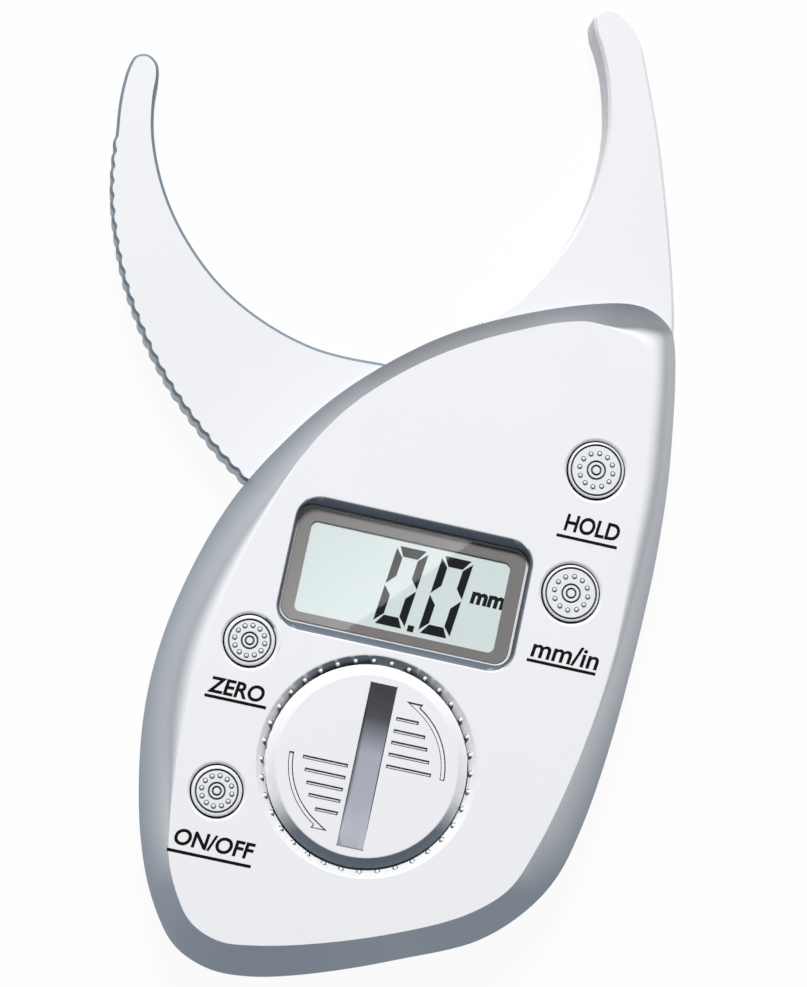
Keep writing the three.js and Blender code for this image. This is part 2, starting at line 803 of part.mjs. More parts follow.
function frontCover() {
  const outer = loft([caseRing(atRim, coverLow, 0, casePlaces), ...slopeShares.map(slopeRing)]);
  const inner = loft([
    caseRing(atRim, coverLow - overrun, wall, liningPlaces),
    caseRing(atRim, coverLow + coverLip, wall, liningPlaces),
    caseRing(atFace, faceUnder, wall / 2, liningPlaces),
  ]);
  const shell = cut(outer, inner);

  // Parts that stand under the face, each run a little into it
  const frame = prism(
    roundedRect(
      windowWidth + windowFrame * 2, windowHeight + windowFrame * 2,
      windowCorner + windowFrame, 0, windowY,
    ),
    shelfLow, faceUnder + fitGap,
  );
  const skirt = disc(skirtRadius, ledgeLow, faceUnder + fitGap, largeRound, 0, lidY);
  const guides = controls.map(({ x, y, diameter }) => (
    disc(diameter / 2 + buttonGap + guideWall, guideLow, faceUnder + fitGap, buttonRound, x, y)
  ));
  const screwBosses = posts.map(({ x, y }) => (
    disc(caseScrewRadius + fitGap + postWall, coverLow, faceUnder + fitGap, smallRound, x, y)
  ));
  const boardBosses = boardScrews.map(({ x, y }) => (
    disc(boltBoss, onBoard, faceUnder + fitGap, smallRound, x, y)
  ));

  // Cuts
  const bedRing = (side, end, z) => ({
    points: roundedRect(
      windowWidth + side * 2, windowHeight + end * 2, windowCorner + end, 0, windowY,
    ).getPoints(windowSteps),
    z,
  });
  const windowBed = loft([
    bedRing(fitGap, fitGap, windowLow - fitGap),
    bedRing(fitGap, fitGap, windowHigh),
    bedRing(fitGap + windowSideSlope, fitGap + windowSlope, faceTop),
    bedRing(fitGap + windowSideSlope, fitGap + windowSlope, faceTop + overrun),
  ]);
  const windowHole = prism(
    roundedRect(
      windowWidth - windowLedge * 2, windowHeight - windowLedge * 2,
      windowCorner - windowLedge / 2, 0, windowY,
    ),
    shelfLow - overrun, faceTop,
  );
  const lidRoom = lidDiameter / 2 + fitGap;
  const lidHole = turned([
    [0, ledgeHigh],
    [lidRoom, ledgeHigh],
    [lidRoom, faceTop - seatBevel],
    [lidRoom + seatBevel + overrun, faceTop + overrun],
    [0, faceTop + overrun],
  ], largeRound, 0, lidY);
  const neckHole = disc(
    lidRoom - lidNeck + fitGap, ledgeLow - overrun, faceTop, largeRound, 0, lidY,
  );
  const notches = Array.from({ length: lugCount }, (_, i) => {
    const middle = lugFrom + lidTurn + fullTurn * i / lugCount;
    const outline = ringSector(
      lidRoom - lidNeck - overrun, lidRoom, middle - notchDegrees / 2, notchDegrees, 6,
    ).map((p) => p.add(new THREE.Vector2(0, lidY)));
    return prism(outline, ledgeLow - overrun, ledgeHigh + fitGap);
  });
  const buttonHoles = controls.map(({ x, y, diameter }) => {
    const hole = diameter / 2 + buttonGap;
    return turned([
      [0, guideLow - overrun],
      [hole, guideLow - overrun],
      [hole, faceTop - dishDepth],
      [hole + dishWidth, faceTop + fitGap],
      [0, faceTop + fitGap],
    ], buttonRound, x, y);
  });
  const screwHoles = posts.map(({ x, y }) => disc(
    caseScrewRadius + fitGap, coverLow - overrun, coverLow + caseScrewBite + fitGap,
    smallRound, x, y,
  ));
  const boardHoles = boardScrews.map(({ x, y }) => disc(
    boardScrewRadius + fitGap, onBoard - overrun, onBoard + boardScrewBite + fitGap,
    smallRound, x, y,
  ));
  return cut(
    joined(shell, frame, skirt, ...guides, ...screwBosses, ...boardBosses),
    windowBed, windowHole, lidHole, neckHole,
    ...notches, ...buttonHoles, ...screwHoles, ...boardHoles,
  );
}

// Battery lid: bevelled disc, neck and bayonet lugs, hollow behind, with a coin slot

function batteryLid() {
  const radius = lidDiameter / 2;
  const neck = radius - lidNeck;
  const body = turned([
    [0, lidLow],
    [neck, lidLow],
    [neck, lidDiscLow],
    [radius, lidDiscLow],
    [radius, lidHigh - lidBevel],
    [radius - lidBevel, lidHigh],
    [0, lidHigh],
  ], largeRound, 0, lidY);
  const lugs = Array.from({ length: lugCount }, (_, i) => {
    const middle = lugFrom + fullTurn * i / lugCount;
    const outline = ringSector(neck - overrun, radius, middle - lugDegrees / 2, lugDegrees, 5)
      .map((p) => p.add(new THREE.Vector2(0, lidY)));
    return prism(outline, lidLow, lidLow + lugHeight);
  });
  const core = turned([
    [lidCoreInner, lidLow - overrun],
    [lidCoreOuter, lidLow - overrun],
    [lidCoreOuter, lidLow + lidCoreDepth],
    [lidCoreInner, lidLow + lidCoreDepth],
    [lidCoreInner, lidLow - overrun],
  ], largeRound, 0, lidY);

  // The slot is the bite of a large coin
  const half = slotLength / 2;
  const coinRadius = (half * half + slotDepth * slotDepth) / (2 * slotDepth);
  const bite = Math.asin(half / coinRadius);
  const steps = 10;
  const floorCurve = Array.from({ length: steps + 1 }, (_, i) => {
    const turn = -bite + 2 * bite * i / steps;
    return new THREE.Vector2(
      coinRadius * Math.sin(turn), lidHigh - slotDepth + coinRadius * (1 - Math.cos(turn)),
    );
  });
  const mouth = [
    new THREE.Vector2(half, lidHigh + overrun),
    new THREE.Vector2(-half, lidHigh + overrun),
  ];
  const slot = foldedSheet([...floorCurve, ...mouth], slotWidth, 0, lidY);
  return cut(joined(body, ...lugs), core, slot);
}

// Buttons, switches and plungers

function buttonCap({ x, y, diameter }) {
  const radius = diameter / 2;
  const top = faceTop + buttonProud;
  const roof = top - buttonGroove - buttonSkin;
  const ring = radius - buttonEdge - buttonSkin;
  return turned([
    [0, buttonLow],
    [buttonCentre, buttonLow],
    [buttonCentre, roof],
    [radius - buttonSkin, roof],
    [radius - buttonSkin, buttonLow],
    [radius + buttonLip, buttonLow],
    [radius + buttonLip, buttonLow + buttonLipHeight],
    [radius, buttonLow + buttonLipHeight],
    [radius, top - buttonEdge],
    [radius - buttonEdge, top],
    [ring + buttonGroove, top],
    [ring, top - buttonGroove],
    [ring - buttonGroove, top],
    [buttonCentre, top],
    [buttonCentre - buttonGroove, top - buttonGroove],
    [0, top - buttonGroove],
  ], buttonRound, x, y);
}

function switchHousing({ x, y }) {
  const high = onBoard + switchHeight;
  return cut(
    block(switchSide, switchSide, onBoard, high, x, y),
    disc(plungerRadius + fitGap, high - plungerDepth - fitGap, high + overrun, smallRound, x, y),
  );
}

function switchPlunger({ x, y }) {
  const high = onBoard + switchHeight;
  return disc(plungerRadius, high - plungerDepth + fitGap, plungerHigh, smallRound, x, y);
}

// Board, display and battery parts

function mainBoard() {
  const edge = pointsAt(smoothCurve(inset(rimPoints, boardInset), true), liningPlaces);
  const low = boardLow;
  const high = boardHigh;
  const widest = rightReach + leftReach;
  const topCut = block(
    widest * 2, topReach * 2, low - overrun, high + overrun, 0, boardTop + topReach,
  );
  const postCuts = posts.map(({ x, y }) => disc(
    caseScrewRadius + fitGap * 2 + postWall, low - overrun, high + overrun, smallRound, x, y,
  ));
  const screwCuts = boardScrews.map(({ x, y }) => disc(
    boardScrewRadius + fitGap, low - overrun, high + overrun, smallRound, x, y,
  ));
  return cut(prism(edge, low, high), topCut, ...postCuts, ...screwCuts);
}

function displayWindow() {
  return prism(
    roundedRect(windowWidth, windowHeight, windowCorner, 0, windowY), windowLow, windowHigh,
  );
}

const lcdWidth = windowWidth - lcdMargin * 2;
const lcdHeight = windowHeight - lcdMargin * 2;

function zebraStrip(side) {
  const y = windowY + side * (lcdHeight - zebraWidth) / 2;
  return block(lcdWidth - zebraWidth, zebraWidth, onBoard, lcdLow - fitGap, 0, y);
}

const holderInner = cellDiameter / 2 + fitGap;
const holderOuter = holderInner + holderWall;

function batteryHolder() {
  const floorHigh = onBoard + holderFloor;
  const ring = turned([
    [0, onBoard],
    [holderOuter, onBoard],
    [holderOuter, lidLow - fitGap * 2],
    [holderInner, lidLow - fitGap * 2],
    [holderInner, floorHigh],
    [0, floorHigh],
  ], mediumRound, 0, lidY);
  const contactWell = block(
    contactWidth + fitGap * 2, contactSpan + fitGap * 2,
    onBoard - overrun, floorHigh + overrun, 0, lidY,
  );
  const clipNotch = block(
    clipWidth + fitGap * 2, holderWall * 2, onBoard - overrun, lidLow,
    0, lidY + holderInner + holderWall - clipSheet,
  );
  return cut(ring, contactWell, clipNotch);
}

function coinCell() {
  const radius = cellDiameter / 2;
  const high = cellLow + cellHeight;
  return turned([
    [0, cellLow],
    [radius - cellStep * 3, cellLow],
    [radius - cellStep * 2, cellLow + cellStep],
    [radius, cellLow + cellStep],
    [radius, high],
    [0, high],
  ], mediumRound, 0, lidY);
}

// Upright leaf beside the cell on a foot soldered to the board
function batteryClip() {
  const face = cellDiameter / 2 + fitGap;
  const high = cellLow + cellHeight;
  const path = [
    [face, onBoard],
    [face + clipSheet + clipFoot, onBoard],
    [face + clipSheet + clipFoot, onBoard + clipSheet],
    [face + clipSheet, onBoard + clipSheet],
    [face + clipSheet, high],
    [face, high],
  ].map(([across, up]) => new THREE.Vector2(across, up));
  return foldedSheet(path, clipWidth, 0, lidY);
}

// Bowed leaf that presses up under the cell
function batterySpringContact() {
  const half = contactSpan / 2;
  const rise = cellLow - fitGap;
  const path = [
    [-half, onBoard],
    [-half / 2, onBoard],
    [-half / 4, rise - clipSheet],
    [half / 4, rise - clipSheet],
    [half / 2, onBoard],
    [half, onBoard],
    [half, onBoard + clipSheet],
    [half / 2 + clipSheet / 2, onBoard + clipSheet],
    [half / 4 + clipSheet / 2, rise],
    [-half / 4 - clipSheet / 2, rise],
    [-half / 2 - clipSheet / 2, onBoard + clipSheet],
    [-half, onBoard + clipSheet],
  ].map(([across, up]) => new THREE.Vector2(across, up));
  return foldedSheet(path, contactWidth, 0, lidY);
}

function chipCover() {
  const steps = 4;
  const dome = Array.from({ length: steps + 1 }, (_, i) => {
    const turn = Math.PI / 2 * i / steps;
    return [chipRadius * Math.cos(turn), onBoard + chipHeight * Math.sin(turn)];
  });
  return turned([[0, onBoard], ...dome.slice(0, steps), [0, onBoard + chipHeight]], smallRound, 0, windowY);
}

// Pivot hardware and the return spring

// Screw with a domed head above its shank, or below it when the head is at the back
function screw(radius, length, headRadius, headHeight, seat, side, x, y) {
  const rim = headHeight / 2;
  const profile = [
    [0, seat - side * length],
    [radius, seat - side * length],
    [radius, seat],
    [headRadius, seat],
    [headRadius, seat + side * rim],
    [headRadius - rim, seat + side * headHeight],
    [0, seat + side * headHeight],
  ];
  return turned(profile, smallRound, x, y);
}

function pivotWasher() {
  const high = washerLow + washerThickness;
  const bore = pivotScrewRadius + fitGap;
  return turned([
    [bore, washerLow],
    [washerRadius, washerLow],
    [washerRadius, high],
    [bore, high],
    [bore, washerLow],
  ], mediumRound);
}

function torsionSpring() {
  const points = [new THREE.Vector3(springFoot, 0, springLow + springWire / 2)];
  const steps = springTurns * wireStepsPerTurn;
  for (let i = 0; i <= steps; i += 1) {
    const place = polar(springRadius, fullTurn * i / wireStepsPerTurn);
    const rise = springPitch * i / wireStepsPerTurn;
    points.push(new THREE.Vector3(place.x, place.y, springLow + springWire / 2 + rise));
  }
  const end = springRoom + springArm - springWire;
  points.push(new THREE.Vector3(end, 0, springHigh - springWire / 2));
  const curve = new THREE.CatmullRomCurve3(points, false, 'centripetal', 0);
  const section = new THREE.Shape(
    Array.from({ length: wireSides }, (_, i) => polar(springWire / 2, fullTurn * i / wireSides)),
  );
  return toSolid(new THREE.ExtrudeGeometry(section, {
    steps: steps + 8,
    bevelEnabled: false,
    extrudePath: curve,
  }));
}

// Assembly

addPiece('back_cover', backCover(), plastics.shell);
addPiece('front_cover', frontCover(), plastics.shell);
addPiece('moving_jaw', movingJaw(), plastics.jaw);
addPiece('battery_lid', batteryLid(), plastics.shell);
addPiece('display_window', displayWindow(), plastics.window);
addPiece('lcd_panel', block(lcdWidth, lcdHeight, lcdLow, lcdHigh, 0, windowY), plastics.glass);
addPiece('zebra_strip_upper', zebraStrip(1), plastics.rubber);
addPiece('zebra_strip_lower', zebraStrip(-1), plastics.rubber);
addPiece('main_board', mainBoard(), plastics.board);
addPiece('chip_cover', chipCover(), plastics.black);
addPiece('battery_holder', batteryHolder(), plastics.black);
addPiece('battery_clip', batteryClip(), plastics.steel);
addPiece('battery_spring_contact', batterySpringContact(), plastics.steel);
addPiece('coin_cell', coinCell(), plastics.steel);
addPiece('pivot_washer', pivotWasher(), plastics.steel);
addPiece('torsion_spring', torsionSpring(), plastics.steel);
addPiece('angle_sensor_strip', prism(
  ringSector(sensorInner, sensorOuter, sensorFromDegrees, sensorDegrees, smallRound),
  jawHigh - sensorThickness, jawHigh,
), plastics.brass);
addPiece('pivot_screw', screw(
  pivotScrewRadius, pivotScrewLength, pivotHeadRadius, pivotHeadHeight, pivotHeadLow, 1, 0, 0,
), plastics.steel);

for (const control of controls) {
  addPiece(`${control.name}_button`, buttonCap(control), plastics.button);
  addPiece(`${control.name}_switch`, switchHousing(control), plastics.black);
  addPiece(`${control.name}_plunger`, switchPlunger(control), plastics.black);
}

const caseScrewLength = coverLow + caseScrewBite - headSink - caseScrewHeadHeight;
posts.forEach(({ x, y }, i) => addPiece(`case_screw_${i + 1}`, screw(
  caseScrewRadius, caseScrewLength, caseScrewHead, caseScrewHeadHeight,
  headSink + caseScrewHeadHeight, -1, x, y,
), plastics.steel));

const boardScrewLength = onBoard + boardScrewBite - boardLow + fitGap;
boardScrews.forEach(({ x, y }, i) => addPiece(`board_screw_${i + 1}`, screw(
  boardScrewRadius, boardScrewLength, boardScrewHead, boardScrewHeadHeight,
  boardLow - fitGap, -1, x, y,
), plastics.steel));

export default group;
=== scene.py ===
"""Digital skinfold caliper: the fine edges, prints, finishes and studio of a moulded caliper,
set round its solid frame. Lengths are written in millimetres and turned to metres by MM."""
import math

import bmesh
import bpy
from bpy.props import FloatProperty, FloatVectorProperty, IntProperty, PointerProperty
from mathutils import Matrix, Vector
from mathutils.bvhtree import BVHTree


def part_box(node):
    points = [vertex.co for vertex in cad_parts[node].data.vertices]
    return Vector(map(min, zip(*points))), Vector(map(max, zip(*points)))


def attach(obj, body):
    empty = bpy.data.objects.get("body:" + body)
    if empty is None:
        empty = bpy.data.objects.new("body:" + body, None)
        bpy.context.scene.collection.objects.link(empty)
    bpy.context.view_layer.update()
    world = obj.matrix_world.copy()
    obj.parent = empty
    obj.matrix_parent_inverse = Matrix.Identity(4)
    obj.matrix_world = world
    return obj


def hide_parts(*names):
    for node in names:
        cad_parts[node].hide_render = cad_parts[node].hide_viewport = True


bl_info = {
    "name": "Skinfold caliper",
    "version": (1, 0, 0),
    "blender": (4, 5, 0),
    "location": "View3D > Sidebar > Caliper",
    "description": "Builds the visible surfaces of a digital skinfold caliper round its frame",
    "category": "Object",
}

MM = 0.001

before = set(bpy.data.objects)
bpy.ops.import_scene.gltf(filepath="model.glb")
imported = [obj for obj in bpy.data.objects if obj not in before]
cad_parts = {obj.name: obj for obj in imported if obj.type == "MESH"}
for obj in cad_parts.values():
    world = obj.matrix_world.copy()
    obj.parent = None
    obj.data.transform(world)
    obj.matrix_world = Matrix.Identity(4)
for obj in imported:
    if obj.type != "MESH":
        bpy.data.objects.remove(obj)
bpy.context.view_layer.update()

# Heights of the frame's covers and moving jaw, in millimetres
COVER_LOW, FACE_TOP = (corner.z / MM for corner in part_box("front_cover"))
JAW_LOW, JAW_HIGH = (corner.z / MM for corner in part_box("moving_jaw"))
# Depth of the dip round the window, in millimetres
RECESS_DEPTH = 1.5
CONTROLS = ("hold", "unit", "zero", "power")
# Way up in the picture
CAMERA_UP = Vector((-0.208, 0.978, 0))


def box_of(node):
    """Low and high corners of a frame node, in millimetres."""
    return [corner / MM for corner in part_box(node)]


def middle(node):
    """Middle of a frame node, in millimetres."""
    return sum(box_of(node), Vector()) / 2


def hex_colour(text):
    """Linear colour of an sRGB hex value such as #EDEFF2."""
    parts = [int(text[i:i + 2], 16) / 255 for i in (1, 3, 5)]
    return tuple(p / 12.92 if p <= 0.04045 else ((p + 0.055) / 1.055) ** 2.4 for p in parts)


def colour_property(name, description, text):
    return FloatVectorProperty(
        name=name, description=description, subtype="COLOR", size=3, min=0, max=1,
        default=hex_colour(text),
    )


def length_property(name, description, millimetres):
    return FloatProperty(
        name=name, description=description, default=millimetres * MM, min=0,
        subtype="DISTANCE", unit="LENGTH", precision=5,
    )


class CaliperColours(bpy.types.PropertyGroup):
    """Colours of the mouldings, the painted shade, the prints and the display."""
    face: colour_property("Face", "White plastic of the covers", "#F0F1F4")
    # Flank and shoulder are painted shade in grey on the cover's sloped rim, deeper low down
    flank: colour_property("Flank", "Silver-grey lacquer low on the sloped rim", "#8B97A5")
    shoulder: colour_property("Shoulder", "Silver-grey lacquer high on the rim", "#D6D9DE")
    # Painted shade in grey on the lid's bevel and seat where they face away from the main lamp
    painted_side_shade: colour_property("Overspray", "Grey lacquer on slopes round the lid", "#6E7984")
    # Recess edge and recess are painted shade in grey on the slopes round the window
    recess_edge: colour_property("Recess edge", "Lacquer at the brim of the recess", "#7F8995")
    recess: colour_property("Recess", "Silver-grey lacquer round the window", "#6A7581")
    jaw: colour_property("Jaw", "White plastic of the jaws", "#EDEEF1")
    # Painted shade in grey on the thumb jaw's walls
    jaw_wall: colour_property("Jaw wall", "Silver-white lacquer on the thumb jaw", "#8B98A4")
    lid: colour_property("Lid", "White plastic of the battery lid", "#EFF0F3")
    # Painted shade in grey in the coin slot
    slot: colour_property("Slot", "Silver-grey lacquer in the coin slot", "#B6BAC6")
    button: colour_property("Button", "Pale grey plastic of the buttons", "#E9EBEE")
    # Painted shade in gaps, on the coin slot's side walls, on groove walls and under beads and
    # pips
    shade: colour_property("Shade", "Grime line in the corners of grooves", "#3C4148")
    ink: colour_property("Ink", "Printed words and lines", "#060607")
    border: colour_property("Border", "Print round the display", "#827F7D")
    display: colour_property("Display", "Ground of the liquid crystal display", "#D9E5E4")
    segment: colour_property("Segment", "Dark segments of the display", "#101214")


class CaliperSizes(bpy.types.PropertyGroup):
    """Sizes of the fine detail."""
    edge: length_property("Edge", "Radius on the crisp edges of the mouldings", 0.22)
    print_height: length_property("Print height", "Thickness of printed ink", 0.03)
    underline: length_property("Underline", "Width of the line under each word", 0.6)
    groove_width: length_property("Groove width", "Mouth of a groove in the lid", 0.72)
    groove_depth: length_property("Groove depth", "Depth of a groove in the lid", 0.4)
    groove_draft: length_property("Groove draft", "Lean of a groove's walls", 0.2)
    bead: length_property("Bead", "Radius of a bead round the battery lid", 0.42)
    pip: length_property("Pip", "Radius of a pip on a button", 0.38)
    ring_line: length_property("Ring line", "Width of a ring groove on a button", 0.34)
    beads: IntProperty(name="Beads", description="Beads round the lid", default=36, min=3)
    pips: IntProperty(name="Pips", description="Pips on a button", default=12, min=3)


class CaliperStudio(bpy.types.PropertyGroup):
    """Lamps of the studio."""
    key: FloatProperty(name="Key", description="Power of the main lamp", default=455, unit="POWER")
    tilt: FloatProperty(
        name="Tilt", description="Lean of the main lamp from overhead", default=math.radians(42),
        subtype="ANGLE",
    )
    sheen: FloatProperty(
        name="Sheen", description="Power of the card that the window mirrors", default=0.1,
        unit="POWER",
    )
    sky: FloatProperty(name="Sky", description="Strength of the room light", default=0.04)
    mirror: FloatProperty(
        name="Mirrored room", description="Brightness of the room in mirrors", default=0.35)


def sizes():
    return bpy.context.scene.caliper_sizes


def colours():
    return bpy.context.scene.caliper_colours


# Materials

# Size and depth of the moulds' pebble, in millimetres
PEBBLE = (0.3, 0.006)
# Size in millimetres and share of the drift in a plastic's colour
CLOUDS = (18, 0.025)
# Share of the normal at which a slope faces fully along the case
LEAN = 0.7
# Places and grey levels of painted shade, from slopes that face the jaws to those that face the
# handle's end
SEAT_SHADE = ((0.0, 0.25), (0.2, 0.0), (0.78, 0.0), (0.95, 1.0))
LID_SHADE = ((0.0, 0.0), (0.61, 0.0), (0.74, 1.0))
# Places and darkening of the rim's painted shade, from slopes that face the handle's end to those
# that face the jaws
SLOPE_SHADE_ENDS = (
    (0.0, 1.0), (0.3, 0.93), (0.5, 0.89), (0.65, 0.86), (0.8, 0.75), (1.0, 0.4))
# Places and grey levels of the coin slot's painted shade, from its dark end
SLOT_SHADE_STOPS = ((0.0, 0.14), (0.2, 0.2), (0.42, 0.93), (1.0, 0.42))


def add_node(tree, kind, inputs=None, stops=(), **settings):
    """Adds a node with its settings, and links or sets its inputs. The stops of a ramp are
    places and grey levels."""
    node = tree.nodes.new(kind)
    for name, value in settings.items():
        setattr(node, name, value)
    for name, value in (inputs or {}).items():
        socket = node.inputs[name]
        if isinstance(value, bpy.types.NodeSocket):
            tree.links.new(value, socket)
        else:
            socket.default_value = (*value, 1) if socket.type == "RGBA" else value
    if stops:
        elements = node.color_ramp.elements
        while len(elements) < len(stops):
            elements.new(1.0)
        for element, (place, level) in zip(elements, stops):
            element.position = place
            element.color = (level, level, level, 1)
    return node


def material_of(name, build, *values):
    """The material of that name, built once by a function that gives its surface."""
    if name in bpy.data.materials:
        return bpy.data.materials[name]
    material = bpy.data.materials.new(name)
    material.use_nodes = True
    tree = material.node_tree
    tree.nodes.clear()
    surface = build(tree, *values)
    add_node(tree, "ShaderNodeOutputMaterial", {"Surface": surface})
    return material


def grain(tree, size, depth, detail=2.0):
    """Bump of a noise whose bumps are about size across, in millimetres."""
    place = add_node(tree, "ShaderNodeTexCoord").outputs["Object"]
    noise = add_node(tree, "ShaderNodeTexNoise", {
        "Vector": place, "Scale": 1 / (size * MM), "Detail": detail,
    })
    return add_node(tree, "ShaderNodeBump", {
        "Height": noise.outputs["Fac"], "Distance": depth * MM, "Strength": 1.0,
    }).outputs["Normal"]


def clouded(tree, colour, size, share):
    """A colour that drifts a little darker and lighter over patches of that size."""
    place = add_node(tree, "ShaderNodeTexCoord").outputs["Object"]
    noise = add_node(tree, "ShaderNodeTexNoise", {"Vector": place, "Scale": 1 / (size * MM)})
    dark = tuple(c * (1 - share) for c in colour)
    return add_node(tree, "ShaderNodeMix", {
        0: noise.outputs["Fac"], 6: dark, 7: colour}, data_type="RGBA").outputs[2]


def moulded(tree, face, roughness, painted_side_shade=None, catch=()):
    """ABS from a spark-eroded mould: satin, with a fine even pebble that the eye takes for
    softness. The pebble is about 0.1 mm on the real thing and is drawn at 0.3 mm so that it
    shows. Slopes can carry painted shade in grey, whose stops of catch run from those that
    face the jaws to those that face the handle's end, away from the main lamp."""
    colour = clouded(tree, face, *CLOUDS)
    if painted_side_shade is not None:
        normal = add_node(tree, "ShaderNodeTexCoord").outputs["Normal"]
        endward = add_node(tree, "ShaderNodeVectorMath", {
            0: normal, 1: (-CAMERA_UP.x, -CAMERA_UP.y, 0)}, operation="DOT_PRODUCT")
        lean = add_node(tree, "ShaderNodeMapRange", {
            "Value": endward.outputs["Value"], "From Min": -LEAN, "From Max": LEAN}).outputs[0]
        share = add_node(tree, "ShaderNodeValToRGB", {0: lean}, catch).outputs[0]
        colour = add_node(tree, "ShaderNodeMix", {
            0: share, 6: colour, 7: painted_side_shade}, data_type="RGBA").outputs[2]
    return add_node(tree, "ShaderNodeBsdfPrincipled", {
        "Base Color": colour, "Roughness": roughness, "IOR": 1.53,
        "Normal": grain(tree, *PEBBLE),
    }).outputs[0]


def painted_slope_shade(tree, face, shoulder, flank, low, high, ends=None):
    """White ABS with painted shade on its slopes, a satin grey with some metallic gloss: the grey
    thins out over a soft shoulder and deepens towards the rim, so the eye sees a pale metallic
    band. Along the sides it fades with height; where the slope faces the handle's end it is even.
    The stops of ends darken it from the handle's end to the jaw end, as more painted shade."""
    place = add_node(tree, "ShaderNodeTexCoord").outputs
    normal = add_node(tree, "ShaderNodeSeparateXYZ", {0: place["Normal"]}).outputs
    flat = add_node(tree, "ShaderNodeMath", {0: normal["Z"]}, operation="ABSOLUTE").outputs[0]
    steep = add_node(tree, "ShaderNodeMapRange", {
        "Value": flat, "From Min": 0.999, "From Max": 0.74, "To Min": 0.0, "To Max": 1.0,
    }).outputs[0]
    height = add_node(tree, "ShaderNodeSeparateXYZ", {0: place["Object"]}).outputs["Z"]
    drop = add_node(tree, "ShaderNodeMapRange", {
        "Value": height, "From Min": high * MM, "From Max": low * MM,
    }).outputs[0]
    shade_grey = add_node(tree, "ShaderNodeMix", {
        0: drop, 6: shoulder, 7: flank}, data_type="RGBA").outputs[2]
    if ends is not None:
        even = add_node(tree, "ShaderNodeMapRange", {
            "Value": normal["Y"], "From Min": -0.1, "From Max": -0.5,
        }, interpolation_type="SMOOTHSTEP").outputs[0]
        endward = add_node(tree, "ShaderNodeMapRange", {
            "Value": normal["Y"], "From Min": -LEAN, "From Max": LEAN}).outputs[0]
        shade_grey = add_node(tree, "ShaderNodeMix", {
            0: even, 6: shade_grey, 7: flank}, data_type="RGBA").outputs[2]
        darker = add_node(tree, "ShaderNodeValToRGB", {0: endward}, ends).outputs[0]
        shade_grey = add_node(tree, "ShaderNodeMix", {
            0: 1.0, 6: shade_grey, 7: darker}, data_type="RGBA", blend_type="MULTIPLY").outputs[2]
    white = clouded(tree, face, *CLOUDS)
    colour = add_node(tree, "ShaderNodeMix", {
        0: steep, 6: white, 7: shade_grey}, data_type="RGBA").outputs[2]
    metal = add_node(tree, "ShaderNodeMath", {0: steep, 1: 0.6}, operation="MULTIPLY").outputs[0]
    return add_node(tree, "ShaderNodeBsdfPrincipled", {
        "Base Color": colour, "Metallic": metal, "Roughness": 0.42, "IOR": 1.53,
        "Normal": grain(tree, *PEBBLE),
    }).outputs[0]


def painted_slot_shade(tree, colour, low, high):
    """Painted shade in the coin slot, a grey with a little metallic gloss: pale in the middle and
    deeper grey at one end, so that it runs from dark to light along the slot."""
    place = add_node(tree, "ShaderNodeTexCoord").outputs["Object"]
    along = add_node(tree, "ShaderNodeSeparateXYZ", {0: place}).outputs["Y"]
    way = add_node(tree, "ShaderNodeMapRange", {
        "Value": along, "From Min": high * MM, "From Max": low * MM,
    }).outputs[0]
    slot_shade_ramp = add_node(tree, "ShaderNodeValToRGB", {0: way}, SLOT_SHADE_STOPS).outputs[0]
    shaded = add_node(tree, "ShaderNodeMix", {
        0: 1.0, 6: colour, 7: slot_shade_ramp}, data_type="RGBA", blend_type="MULTIPLY").outputs[2]
    return add_node(tree, "ShaderNodeBsdfPrincipled", {
        "Base Color": shaded, "Metallic": 0.2, "Roughness": 0.4, "Normal": grain(tree, *PEBBLE),
    }).outputs[0]


def printed(tree, colour, gloss=0.5):
    """Pad-printed ink: nearly flat, a little uneven in gloss where the pad lifted; without
    gloss where it lies behind the window."""
    place = add_node(tree, "ShaderNodeTexCoord").outputs["Object"]
    noise = add_node(tree, "ShaderNodeTexNoise", {"Vector": place, "Scale": 1 / (0.6 * MM)})
    rough = add_node(tree, "ShaderNodeMapRange", {
        "Value": noise.outputs["Fac"], "To Min": 0.45, "To Max": 0.7,
    }).outputs[0]
    return add_node(tree, "ShaderNodeBsdfPrincipled", {
        "Base Color": clouded(tree, colour, 1.2, 0.12), "Roughness": rough, "IOR": 1.5,
        "Specular IOR Level": gloss, "Normal": grain(tree, 0.25, 0.003),
    }).outputs[0]


def clear_acrylic(tree):
    """Cast acrylic window: clear and glossy, with the faint waviness of a thin sheet."""
    wave = grain(tree, 14, 0.0015, 0.0)
    mirrored = add_node(tree, "ShaderNodeFresnel", {"IOR": 1.49, "Normal": wave}).outputs[0]
    behind = add_node(tree, "ShaderNodeNewGeometry").outputs["Backfacing"]
    ahead = add_node(tree, "ShaderNodeMath", {0: 1.0, 1: behind}, operation="SUBTRACT").outputs[0]
    share = add_node(tree, "ShaderNodeMath", {
        0: mirrored, 1: ahead}, operation="MULTIPLY").outputs[0]
    clear = add_node(tree, "ShaderNodeBsdfTransparent").outputs[0]
    gloss = add_node(tree, "ShaderNodeBsdfAnisotropic", {
        "Roughness": 0.02, "Normal": wave}).outputs[0]
    return add_node(tree, "ShaderNodeMixShader", {0: share, 1: clear, 2: gloss}).outputs[0]


def crystal_display(tree, colour):
    """Reflective display: pale green-grey behind glass, its ground finely mottled."""
    return add_node(tree, "ShaderNodeBsdfPrincipled", {
        "Base Color": clouded(tree, colour, 5, 0.04), "Roughness": 0.6, "IOR": 1.5,
        "Specular IOR Level": 0.05, "Normal": grain(tree, 0.4, 0.002),
    }).outputs[0]


